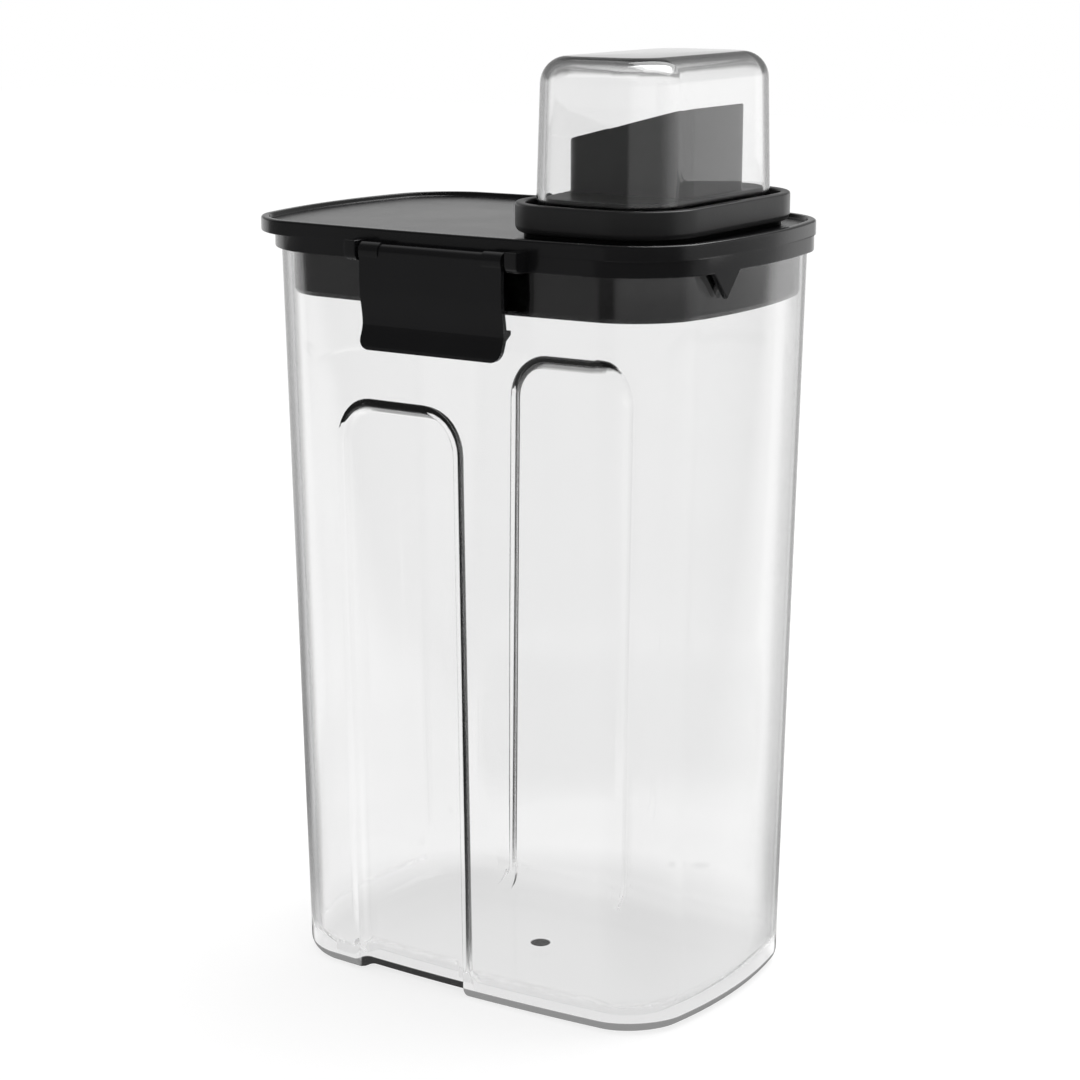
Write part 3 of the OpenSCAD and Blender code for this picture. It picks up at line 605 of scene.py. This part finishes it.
# Black moulded PP, satin gloss from a fine-spark tool: near black, IOR 1.49, with a faint
# orange-peel skin about 1.5 mm apart and a duller bloom where hands rub it.
black_pp, tree = new_material("black_pp_satin")
place = add(tree, "ShaderNodeTexCoord").outputs["Object"]
bloom = add(tree, "ShaderNodeTexNoise", {"Vector": place, "Scale": 30.0, "Detail": 4.0,
                                         "Roughness": 0.6})
shade = add(tree, "ShaderNodeMix", {"Factor": bloom.outputs["Fac"], "A": linear("#0c0c0d"),
                                    "B": linear("#121213")}, data_type="RGBA")
sheen = add(tree, "ShaderNodeMapRange", {"Value": bloom.outputs["Fac"],
                                         "From Min": 0.3, "From Max": 0.7,
                                         "To Min": 0.17, "To Max": 0.2})
peel = add(tree, "ShaderNodeTexNoise", {"Vector": place, "Scale": 650.0, "Detail": 2.0})
skin_bump = add(tree, "ShaderNodeBump", {"Height": peel.outputs["Fac"], "Strength": 0.08,
                                         "Distance": 0.0002})
plastic = add(tree, "ShaderNodeBsdfPrincipled", {
    "Base Color": shade.outputs["Result"], "Roughness": sheen.outputs["Result"], "IOR": 1.49,
    "Normal": skin_bump.outputs["Normal"]})
add(tree, "ShaderNodeOutputMaterial", {"Surface": plastic.outputs["BSDF"]})

lid_rows = [
    row(BODY_PLAN, RING_GAP, 271.0), row(BODY_PLAN, RING_GAP + 0.3, RING_FOOT),
    row(RING_PLAN, -0.4, RING_FOOT), row(RING_PLAN, -0.12, RING_FOOT + 0.12),
    row(RING_PLAN, 0, RING_FOOT + 0.4),
    row(RING_PLAN, 0, LIP_FOOT), row(mixed(RING_PLAN, LIP_PLAN, 0.86), 0, LIP_FOOT),
    row(mixed(RING_PLAN, LIP_PLAN, 0.96), 0, LIP_FOOT + 0.15), row(LIP_PLAN, 0, LIP_FOOT + 0.5),
    row(LIP_PLAN, 0, RIM_TOP - 0.8), row(LIP_PLAN, -0.06, RIM_TOP - 0.49),
    row(LIP_PLAN, -0.24, RIM_TOP - 0.24),
    row(LIP_PLAN, -0.49, RIM_TOP - 0.06), row(LIP_PLAN, -0.8, RIM_TOP), row(LIP_PLAN, -2.3, RIM_TOP),
    row(LIP_PLAN, -2.5, RIM_TOP - 0.08), row(LIP_PLAN, -2.6, RIM_TOP - 0.3),
    row(LIP_PLAN, -2.8, PANEL + 0.3),
    row(LIP_PLAN, -2.95, PANEL + 0.08), row(LIP_PLAN, -3.2, PANEL),
    row(COLLAR_PLAN, -5.4, PANEL), row(COLLAR_PLAN, -5.4, PANEL_UNDER),
    row(BODY_PLAN, -PLUG_IN - PLUG_THICK, PANEL_UNDER),
    row(BODY_PLAN, -PLUG_IN - PLUG_THICK, PLUG_FOOT + 0.8),
    row(BODY_PLAN, -PLUG_IN - 1.6, PLUG_FOOT), row(BODY_PLAN, -PLUG_IN - 1.0, PLUG_FOOT),
    row(BODY_PLAN, -PLUG_IN - 0.6, PLUG_FOOT + 0.25), row(BODY_PLAN, -PLUG_IN, PLUG_FOOT + 1.6),
    row(BODY_PLAN, -PLUG_IN, GROOVE_FOOT), row(BODY_PLAN, -PLUG_IN - GROOVE_DEEP, GROOVE_FOOT),
    row(BODY_PLAN, -PLUG_IN - GROOVE_DEEP, GROOVE_TOP), row(BODY_PLAN, -PLUG_IN, GROOVE_TOP),
    row(BODY_PLAN, -PLUG_IN, PANEL_UNDER), row(BODY_PLAN, RING_GAP, PANEL_UNDER)]
lid_shell = moulded("lid_shell", lid_rows, black_pp)

# Ears for the latches: flat tabs 4.7 mm wide with a rounded lower corner.
HINGE_HIGH = 274.1
EAR_X, EAR_WIDE, EAR_OUT, EAR_HALF, EAR_ROUND = 30.9, 4.7, 71.0, 3.6, 3.0
ear_outline = [(62.5, HINGE_HIGH + EAR_HALF), (62.5, HINGE_HIGH - EAR_HALF)] + [
    (EAR_OUT - EAR_ROUND + EAR_ROUND * math.sin(math.radians(a)),
     HINGE_HIGH - EAR_HALF + EAR_ROUND - EAR_ROUND * math.cos(math.radians(a)))
    for a in range(0, 91, 15)] + [(EAR_OUT, HINGE_HIGH + EAR_HALF)]
ears = []
for side in (-1, 1):
    for x in (-EAR_X - EAR_WIDE, EAR_X):
        ears.append(prism("ear", [(side * y, z) for y, z in ear_outline],
                          MIDDLE + x, MIDDLE + x + EAR_WIDE, black_pp, round_edges=0.35))

# Pointed pour mark that hangs from the ring at the spout end.
MARK_Y, MARK_WIDE, MARK_DEEP = -27.5, 15.0, 9.0


def ring_end_point(y, off):
    """Point of the body's right end grown by off, at one place across it."""
    half_x, half_y = HALF_LENGTH + off, HALF_DEPTH + off
    inside_y = abs(y) - (HALF_DEPTH - CORNER)
    turned = math.sqrt((CORNER + off) ** 2 - max(inside_y, 0) ** 2)
    x = half_x if inside_y <= 0 else HALF_LENGTH - CORNER + turned
    px, py = bow(x, y, half_x, half_y, END_BOW, SIDE_BOW)
    return px + MIDDLE, py


form = bmesh.new()
lines = []
for i in range(13):
    t = i / 12 * 2 - 1
    y = MARK_Y + t * MARK_WIDE / 2
    low = RING_FOOT - MARK_DEEP * (1 - abs(t))
    line = [form.verts.new(Vector((*ring_end_point(y, off), z)) * MM)
            for off, z in ((RING_GAP, RING_FOOT + 0.4), (RING_GAP, low), (RING_OUT - 0.3, low),
                           (RING_OUT, low + 0.35), (RING_OUT, RING_FOOT + 0.4))]
    lines.append(line)
for a, b in zip(lines, lines[1:]):
    for k in range(5):
        form.faces.new((a[k], a[(k + 1) % 5], b[(k + 1) % 5], b[k]))
form.faces.new(lines[0][::-1])
form.faces.new(lines[-1])
bmesh.ops.recalc_face_normals(form, faces=form.faces)
mesh = bpy.data.meshes.new("pour_mark")
form.to_mesh(mesh)
form.free()
pour_mark = smoothed("pour_mark", mesh, black_pp)

lid = joined("lid_moulding", [lid_shell, pour_mark] + ears, black_pp)
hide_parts("lid")
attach(lid, "lid")


# ---- Lid gasket -------------------------------------------------------------------------
# The ring that makes the lid airtight: moulded silicone rubber with two soft lips, pushed
# into the groove round the plug. The lips touch the container's wall.

# Milky grey silicone: matt, a little see-through, IOR 1.41, with fine dust-fast bloom.
silicone, tree = new_material("grey_silicone")
place = add(tree, "ShaderNodeTexCoord").outputs["Object"]
cloud = add(tree, "ShaderNodeTexNoise", {"Vector": place, "Scale": 60.0, "Detail": 5.0})
grey = add(tree, "ShaderNodeMix", {"Factor": cloud.outputs["Fac"], "A": linear("#b4b6b8"),
                                   "B": linear("#c6c8c9")}, data_type="RGBA")
fine = add(tree, "ShaderNodeTexNoise", {"Vector": place, "Scale": 900.0, "Detail": 1.0})
matt = add(tree, "ShaderNodeBump", {"Height": fine.outputs["Fac"], "Strength": 0.15,
                                    "Distance": 0.0002})
rubber = add(tree, "ShaderNodeBsdfPrincipled", {
    "Base Color": grey.outputs["Result"], "Roughness": 0.5, "IOR": 1.41,
    "Subsurface Weight": 0.2, "Subsurface Scale": 0.002, "Normal": matt.outputs["Normal"]})
add(tree, "ShaderNodeOutputMaterial", {"Surface": rubber.outputs["BSDF"]})

back, face, tip = -PLUG_IN - GROOVE_DEEP + 0.05, -PLUG_IN, -WALL - 0.15
low, tall = GROOVE_FOOT + 0.05, GROOVE_TOP - GROOVE_FOOT - 0.1
lid_gasket = moulded("lid_gasket_ring", [
    row(BODY_PLAN, off, low + tall * t)
    for off, t in ((back, 0), (face, 0), (tip - 0.2, 0.15), (tip, 0.2), (tip - 0.2, 0.25), (face, 0.4),
                   (face, 0.6), (tip - 0.2, 0.75), (tip, 0.8), (tip - 0.2, 0.85), (face, 1), (back, 1))],
    silicone)
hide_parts("lid_gasket")
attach(lid_gasket, "lid")


# ---- Spout insert -----------------------------------------------------------------------
# Spout, island, groove and collar in one dark grey ABS moulding. It snaps through the lid's
# panel with a skirt, and its collar overhangs the panel with a rounded lower edge.

CUP_PLAN = (28.1, 46.5, 18.5, 0.6, 0.3, 49.3)
CUP_THICK = 2.5
ISLAND_PLAN = tuple(v - CUP_THICK - 0.4 for v in CUP_PLAN[:3]) + CUP_PLAN[3:]
TUBE_PLAN = (23.3, 21.6, 6.0, 0.0, 0.0, 49.3)
TUBE_THICK = 2.0
COLLAR_TOP, ISLAND_TOP, COLLAR_FOOT, GROOVE_FLOOR, SKIRT_FOOT = 291.4, 293.0, 281.4, 282.2, 273.4
MOUTH, MOUTH_SLOPE = 317.0, math.tan(math.radians(14.3))
SEAL_FOOT, SEAL_TALL, SEAL_DEEP = 286.0, 2.6, 0.9

# Dark grey ABS, satin: a shade lighter than the lid, IOR 1.53, fine even grain.
grey_abs, tree = new_material("dark_grey_abs_satin")
place = add(tree, "ShaderNodeTexCoord").outputs["Object"]
bloom = add(tree, "ShaderNodeTexNoise", {"Vector": place, "Scale": 45.0, "Detail": 4.0,
                                         "Roughness": 0.6})
shade = add(tree, "ShaderNodeMix", {"Factor": bloom.outputs["Fac"], "A": linear("#191919"),
                                    "B": linear("#202021")}, data_type="RGBA")
sheen = add(tree, "ShaderNodeMapRange", {"Value": bloom.outputs["Fac"],
                                         "From Min": 0.3, "From Max": 0.7,
                                         "To Min": 0.3, "To Max": 0.4})
grain = add(tree, "ShaderNodeTexNoise", {"Vector": place, "Scale": 800.0, "Detail": 2.0})
grain_bump = add(tree, "ShaderNodeBump", {"Height": grain.outputs["Fac"], "Strength": 0.08,
                                          "Distance": 0.0002})
plastic = add(tree, "ShaderNodeBsdfPrincipled", {
    "Base Color": shade.outputs["Result"], "Roughness": sheen.outputs["Result"], "IOR": 1.53,
    "Normal": grain_bump.outputs["Normal"]})
add(tree, "ShaderNodeOutputMaterial", {"Surface": plastic.outputs["BSDF"]})

insert_rows = [
    row(COLLAR_PLAN, -3.0, PANEL), row(COLLAR_PLAN, -3.0, COLLAR_FOOT),
    row(COLLAR_PLAN, -1.5, COLLAR_FOOT + 0.05),
    row(COLLAR_PLAN, -0.9, COLLAR_FOOT + 0.35), row(COLLAR_PLAN, -0.45, COLLAR_FOOT + 0.9),
    row(COLLAR_PLAN, -0.12, COLLAR_FOOT + 1.6), row(COLLAR_PLAN, 0, COLLAR_FOOT + 2.3),
    row(COLLAR_PLAN, 0, COLLAR_TOP - 0.9), row(COLLAR_PLAN, -0.1, COLLAR_TOP - 0.5),
    row(COLLAR_PLAN, -0.3, COLLAR_TOP - 0.25), row(COLLAR_PLAN, -0.55, COLLAR_TOP - 0.08),
    row(COLLAR_PLAN, -0.9, COLLAR_TOP), row(COLLAR_PLAN, -2.8, COLLAR_TOP),
    row(COLLAR_PLAN, -3.3, COLLAR_TOP - 0.2), row(COLLAR_PLAN, -3.6, COLLAR_TOP - 0.7),
    row(COLLAR_PLAN, -3.6, GROOVE_FLOOR), row(ISLAND_PLAN, 0, GROOVE_FLOOR),
    row(ISLAND_PLAN, 0, SEAL_FOOT), row(ISLAND_PLAN, -SEAL_DEEP, SEAL_FOOT),
    row(ISLAND_PLAN, -SEAL_DEEP, SEAL_FOOT + SEAL_TALL), row(ISLAND_PLAN, 0, SEAL_FOOT + SEAL_TALL),
    row(ISLAND_PLAN, 0, ISLAND_TOP - 0.8), row(ISLAND_PLAN, -0.24, ISLAND_TOP - 0.24),
    row(ISLAND_PLAN, -0.8, ISLAND_TOP), row(TUBE_PLAN, 0.8, ISLAND_TOP),
    row(TUBE_PLAN, 0.24, ISLAND_TOP + 0.24),
    row(TUBE_PLAN, 0, ISLAND_TOP + 0.8),
    row(TUBE_PLAN, 0, MOUTH - 0.6, MOUTH_SLOPE), row(TUBE_PLAN, -0.12, MOUTH - 0.2, MOUTH_SLOPE),
    row(TUBE_PLAN, -0.4, MOUTH, MOUTH_SLOPE), row(TUBE_PLAN, -1.6, MOUTH, MOUTH_SLOPE),
    row(TUBE_PLAN, -1.88, MOUTH - 0.2, MOUTH_SLOPE),
    row(TUBE_PLAN, -TUBE_THICK, MOUTH - 0.6, MOUTH_SLOPE),
    row(TUBE_PLAN, -TUBE_THICK, ISLAND_TOP - 2), row(ISLAND_PLAN, -2.5, ISLAND_TOP - 2),
    row(ISLAND_PLAN, -2.5, PANEL + 0.6), row(COLLAR_PLAN, -7.4, PANEL - 0.4),
    row(COLLAR_PLAN, -7.4, SKIRT_FOOT), row(COLLAR_PLAN, -5.6, SKIRT_FOOT),
    row(COLLAR_PLAN, -5.6, PANEL)]
insert_shell = moulded("insert_shell", insert_rows, grey_abs)
bead_outline = ((46.4, 277.3), (48.3, 277.3), (48.3, 276.6), (47.1, 274.5), (46.4, 274.5))
BEAD_LEFT, BEAD_RIGHT = 33.3, 65.3
beads = [prism("snap_bead", [(side * y, z) for y, z in bead_outline], BEAD_LEFT, BEAD_RIGHT, grey_abs)
         for side in (-1, 1)]
insert = joined("spout_insert_moulding", [insert_shell] + beads, grey_abs)
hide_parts("spout_insert")
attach(insert, "lid")


# ---- Seals of the insert and of the cup -------------------------------------------------
# Two smaller rings of the same silicone: a flat one that the insert's foot presses on the
# panel, and a rounded one in the island's groove that holds the cup tight.

insert_gasket = moulded("insert_gasket_ring", [
    row(COLLAR_PLAN, off, z) for off, z in
    ((-3.45, PANEL - 1), (-3.45, PANEL), (-4.85, PANEL), (-4.85, PANEL - 1))], silicone)
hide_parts("insert_gasket")
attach(insert_gasket, "lid")

low, tall = SEAL_FOOT + 0.05, SEAL_TALL - 0.1
cup_seal = moulded("cup_seal_ring", [
    row(ISLAND_PLAN, off, low + tall * t) for off, t in
    ((0.05 - SEAL_DEEP, 0), (0, 0), (0.25, 0.25), (0.35, 0.5), (0.25, 0.75), (0, 1),
     (0.05 - SEAL_DEEP, 1))], silicone)
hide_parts("cup_seal")
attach(cup_seal, "lid")


# ---- Measuring cup ----------------------------------------------------------------------
# The clear cup turned over on the spout: the same SAN as the body, moulded 2.5 mm thick,
# drafted, with a wide round between its wall and its flat end. Its rim stands in the groove.

CUP_RIM, CUP_END, CUP_ROUND, CUP_DRAFT = 283.4, 340.0, 9.0, 0.03


def cup_row(off, z, inward=0.0):
    return row(CUP_PLAN, off - CUP_DRAFT * (z - COLLAR_TOP) - inward, z)


def cup_end(off, top, radius):
    """Rows of the round from the wall to the flat end."""
    return [cup_row(off, top - radius * (1 - math.sin(a)), radius * (1 - math.cos(a)))
            for a in np.linspace(0, math.pi / 2, 11)]


inner_end = cup_end(-CUP_THICK, CUP_END - CUP_THICK, CUP_ROUND - CUP_THICK)
outer_end = cup_end(0, CUP_END, CUP_ROUND)
middle_row = (0.0, 0.0, 0.0, 0.0, 0.0, 0.0, CUP_PLAN[5], 0.0)
cup_rows = ([middle_row[:2] + (CUP_END - CUP_THICK,) + middle_row[3:]] + inner_end[::-1] +
            [cup_row(-CUP_THICK, z) for z in (320.0, 305.0, 290.0, CUP_RIM + 0.8)] +
            [cup_row(-CUP_THICK + 0.25, CUP_RIM + 0.2), cup_row(-CUP_THICK + 0.8, CUP_RIM),
             cup_row(-0.8, CUP_RIM), cup_row(-0.25, CUP_RIM + 0.2)] +
            [cup_row(0, z) for z in (CUP_RIM + 0.8, 290.0, 305.0, 320.0)] + outer_end +
            [middle_row[:2] + (CUP_END,) + middle_row[3:]])
cup = moulded("measuring_cup", cup_rows, san, closed=False)
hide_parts("cup")
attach(cup, "cup")


# ---- Latches ----------------------------------------------------------------------------
# One latch on each long side, black PP like the lid: a plate with stub axles that snap into
# the ears, a hook that catches the body's rib and a flared lip for the finger.

for name in ("latch_front", "latch_rear"):
    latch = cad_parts[name]
    latch.data.materials.clear()
    latch.data.materials.append(black_pp)


# ---- Floor, light and camera ------------------------------------------------------------
# A white studio with one large softbox overhead. The floor keeps a soft shadow. What is seen
# straight through a clear wall is white, and what is mirrored is dark in front of the object.

bpy.data.objects.remove(outline_points)

DARK, EVEN_LIGHT = 0.2, 0.9             # level of the dark side, level that lights all surfaces
FLOOR_GLOW, FLOOR_WHITE = 0.74, 0.32    # share of the floor that no shadow reaches, and its paint
FLOOR_DROP, FLOOR_HALF = 0.0002, 4.0
CARD_AT = (-0.17, -0.19, 0)


def seen_level(tree, path, pattern, for_camera):
    """Even light for matt surfaces, a pattern for mirrored or refracted rays, white for the camera."""
    shaped = add(tree, "ShaderNodeMath", {0: path["Is Glossy Ray"], 1: path["Is Transmission Ray"]},
                 operation="MAXIMUM")
    level = add(tree, "ShaderNodeMix", {"Factor": shaped.outputs[0], "A": EVEN_LIGHT, "B": pattern},
                data_type="FLOAT")
    return add(tree, "ShaderNodeMix", {"Factor": path["Is Camera Ray"], "A": level.outputs["Result"],
                                       "B": for_camera}, data_type="FLOAT").outputs["Result"]


floor_paint, tree = new_material("white_floor")
place = add(tree, "ShaderNodeTexCoord").outputs["Object"]
speck = add(tree, "ShaderNodeTexNoise", {"Vector": place, "Scale": 3.0, "Detail": 2.0})
white = add(tree, "ShaderNodeMix", {"Factor": speck.outputs["Fac"], "A": linear("#fbfbfb"),
                                    "B": linear("#ffffff")}, data_type="RGBA")
path = add(tree, "ShaderNodeLightPath").outputs
after_mirror = add(tree, "ShaderNodeMath", {0: path["Glossy Depth"], 1: 0.5}, operation="GREATER_THAN")

# What a face mirrors through a clear wall: dark in front on the left, with a black card there.
way = add(tree, "ShaderNodeSeparateXYZ", {0: place}).outputs
from_card = add(tree, "ShaderNodeVectorMath", {0: place, 1: CARD_AT}, operation="DISTANCE")
card = add(tree, "ShaderNodeMapRange", {"Value": from_card.outputs["Value"],
                                        "From Min": 0.09, "From Max": 0.19},
           interpolation_type="SMOOTHSTEP")
slanted = add(tree, "ShaderNodeMath", {0: way["X"], 1: -0.3, 2: way["Y"]}, operation="MULTIPLY_ADD")
white_side = add(tree, "ShaderNodeMapRange", {"Value": slanted.outputs[0], "From Min": -0.3,
                                              "From Max": -0.12, "To Min": DARK, "To Max": 1.02})
right_side = add(tree, "ShaderNodeMapRange", {"Value": way["X"], "From Min": 0.1, "From Max": 0.35,
                                              "To Min": 0.0, "To Max": 1.02})
light_side = add(tree, "ShaderNodeMath", {
    0: white_side.outputs["Result"], 1: right_side.outputs["Result"]}, operation="MAXIMUM")
off_card = add(tree, "ShaderNodeMath", {0: light_side.outputs[0], 1: card.outputs["Result"]},
               operation="MULTIPLY")

# What is seen straight through is white, with a faint painted shadow below the object.
near = add(tree, "ShaderNodeVectorMath", {0: place}, operation="LENGTH").outputs["Value"]
painted_shadow_under = add(tree, "ShaderNodeMapRange", {"Value": near, "From Min": 0.09, "From Max": 0.12,
                                            "To Min": 0.86, "To Max": 1.0})
looked_through = add(tree, "ShaderNodeMix", {"Factor": after_mirror.outputs[0], "A": 1.0,
                                             "B": off_card.outputs[0]}, data_type="FLOAT")
through = add(tree, "ShaderNodeMath", {
    0: looked_through.outputs["Result"], 1: painted_shadow_under.outputs["Result"]}, operation="MULTIPLY")

# What is mirrored: white behind the object and round its foot, greyer far behind to the right.
behind = add(tree, "ShaderNodeMapRange", {"Value": way["Y"], "From Min": -0.1, "From Max": 0.3,
                                          "To Min": DARK, "To Max": 1.0})
round_foot = add(tree, "ShaderNodeMapRange", {"Value": near, "From Min": 0.1, "From Max": 0.3,
                                              "To Min": 1.0, "To Max": DARK})
reflected = add(tree, "ShaderNodeMath", {0: behind.outputs["Result"], 1: round_foot.outputs["Result"]},
                operation="MAXIMUM")
indirect = add(tree, "ShaderNodeMix", {"Factor": path["Is Transmission Ray"], "A": reflected.outputs[0],
                                       "B": through.outputs[0]}, data_type="FLOAT")
rightward = add(tree, "ShaderNodeMath", {0: way["Y"], 1: -0.4, 2: way["X"]}, operation="MULTIPLY_ADD")
greyer = add(tree, "ShaderNodeMapRange", {"Value": rightward.outputs[0], "From Min": 0.08,
                                          "From Max": 0.25, "To Min": 1.0, "To Max": 0.4})
grey_side = add(tree, "ShaderNodeMix", {"Factor": after_mirror.outputs[0], "A": 1.0,
                                        "B": greyer.outputs["Result"]}, data_type="FLOAT")
mirrored = add(tree, "ShaderNodeMath", {0: indirect.outputs["Result"], 1: grey_side.outputs["Result"]},
               operation="MULTIPLY")

strength = seen_level(tree, path, mirrored.outputs[0], FLOOR_GLOW)
glow = add(tree, "ShaderNodeEmission", {"Color": white.outputs["Result"], "Strength": strength})
shown = add(tree, "ShaderNodeMath", {0: path["Is Camera Ray"], 1: FLOOR_WHITE}, operation="MULTIPLY")
lit = add(tree, "ShaderNodeMix", {"Factor": shown.outputs[0], "A": (0, 0, 0, 1), "B": (1, 1, 1, 1)},
          data_type="RGBA")
matt = add(tree, "ShaderNodeBsdfDiffuse", {"Color": lit.outputs["Result"]})
both = add(tree, "ShaderNodeAddShader", {0: matt.outputs[0], 1: glow.outputs[0]})
add(tree, "ShaderNodeOutputMaterial", {"Surface": both.outputs[0]})

mesh = bpy.data.meshes.new("floor")
mesh.from_pydata([(x * FLOOR_HALF, y * FLOOR_HALF, -FLOOR_DROP)
                  for x, y in ((-1, -1), (1, -1), (1, 1), (-1, 1))], [], [(0, 1, 2, 3)])
mesh.materials.append(floor_paint)
floor = bpy.data.objects.new("floor", mesh)
bpy.context.scene.collection.objects.link(floor)

# The walls of the studio follow the floor: dark in front and dimmer overhead for mirrored rays.
world = bpy.data.worlds.new("studio")
bpy.context.scene.world = world
world.use_nodes = True
tree = world.node_tree
tree.nodes.clear()
aim = add(tree, "ShaderNodeTexCoord").outputs["Generated"]
way = add(tree, "ShaderNodeSeparateXYZ", {0: aim}).outputs
path = add(tree, "ShaderNodeLightPath").outputs
after_mirror = add(tree, "ShaderNodeMath", {0: path["Glossy Depth"], 1: 0.5}, operation="GREATER_THAN")
behind = add(tree, "ShaderNodeMapRange", {"Value": way["Y"], "From Min": -0.15, "From Max": 0.25,
                                          "To Min": DARK, "To Max": 1.0})
lower = add(tree, "ShaderNodeMapRange", {"Value": way["Z"], "From Min": 0.03, "From Max": 0.13,
                                         "To Min": 1.0, "To Max": 0.38})
right = add(tree, "ShaderNodeMapRange", {"Value": way["X"], "From Min": 0.1, "From Max": 0.3,
                                         "To Max": 0.95})
sides = add(tree, "ShaderNodeMath", {0: behind.outputs["Result"], 1: right.outputs["Result"]},
            operation="MAXIMUM")
around = add(tree, "ShaderNodeMix", {"Factor": after_mirror.outputs[0], "A": 1.0,
                                     "B": sides.outputs[0]},
             data_type="FLOAT")
indirect = add(tree, "ShaderNodeMix", {"Factor": path["Is Transmission Ray"],
                                       "A": behind.outputs["Result"], "B": around.outputs["Result"]},
               data_type="FLOAT")
dimmed = add(tree, "ShaderNodeMath", {0: indirect.outputs["Result"], 1: lower.outputs["Result"]},
             operation="MULTIPLY")
strength = seen_level(tree, path, dimmed.outputs[0], 1.0)
sky = add(tree, "ShaderNodeBackground", {"Color": linear("#ffffff"), "Strength": strength})
add(tree, "ShaderNodeOutputWorld", {"Surface": sky.outputs[0]})


def softbox(name, at, look, size, watts):
    """Area lamp at a place, turned to look at a point."""
    lamp = bpy.data.lights.new(name, "AREA")
    lamp.shape = "RECTANGLE"
    lamp.size, lamp.size_y = size
    lamp.energy = watts
    stand = bpy.data.objects.new(name, lamp)
    turn = (Vector(look) - Vector(at)).to_track_quat("-Z", "Y")
    stand.matrix_world = Matrix.Translation(at) @ turn.to_matrix().to_4x4()
    bpy.context.scene.collection.objects.link(stand)
    return stand


softbox("overhead_softbox", (0.3, 0.6, 1.5), (0, 0, 0.15), (1.2, 1.2), 14)

# The camera was solved from the outlines in the photograph.
LOOK_DOWN, LOOK_LEFT = 14.734, 33.117
camera = bpy.data.cameras.new("photo_camera")
camera.sensor_fit = "HORIZONTAL"
camera.sensor_width = 36.0
camera.lens = 86.89
camera.shift_x = 0.0
camera.shift_y = 0.0641
stand = bpy.data.objects.new("photo_camera", camera)
stand.location = (0.5154, -0.7880, 0.3829)
stand.rotation_euler = (math.radians(90 - LOOK_DOWN), 0, math.radians(LOOK_LEFT))
bpy.context.scene.collection.objects.link(stand)
bpy.context.scene.camera = stand
bpy.context.scene.view_settings.view_transform = "Standard"
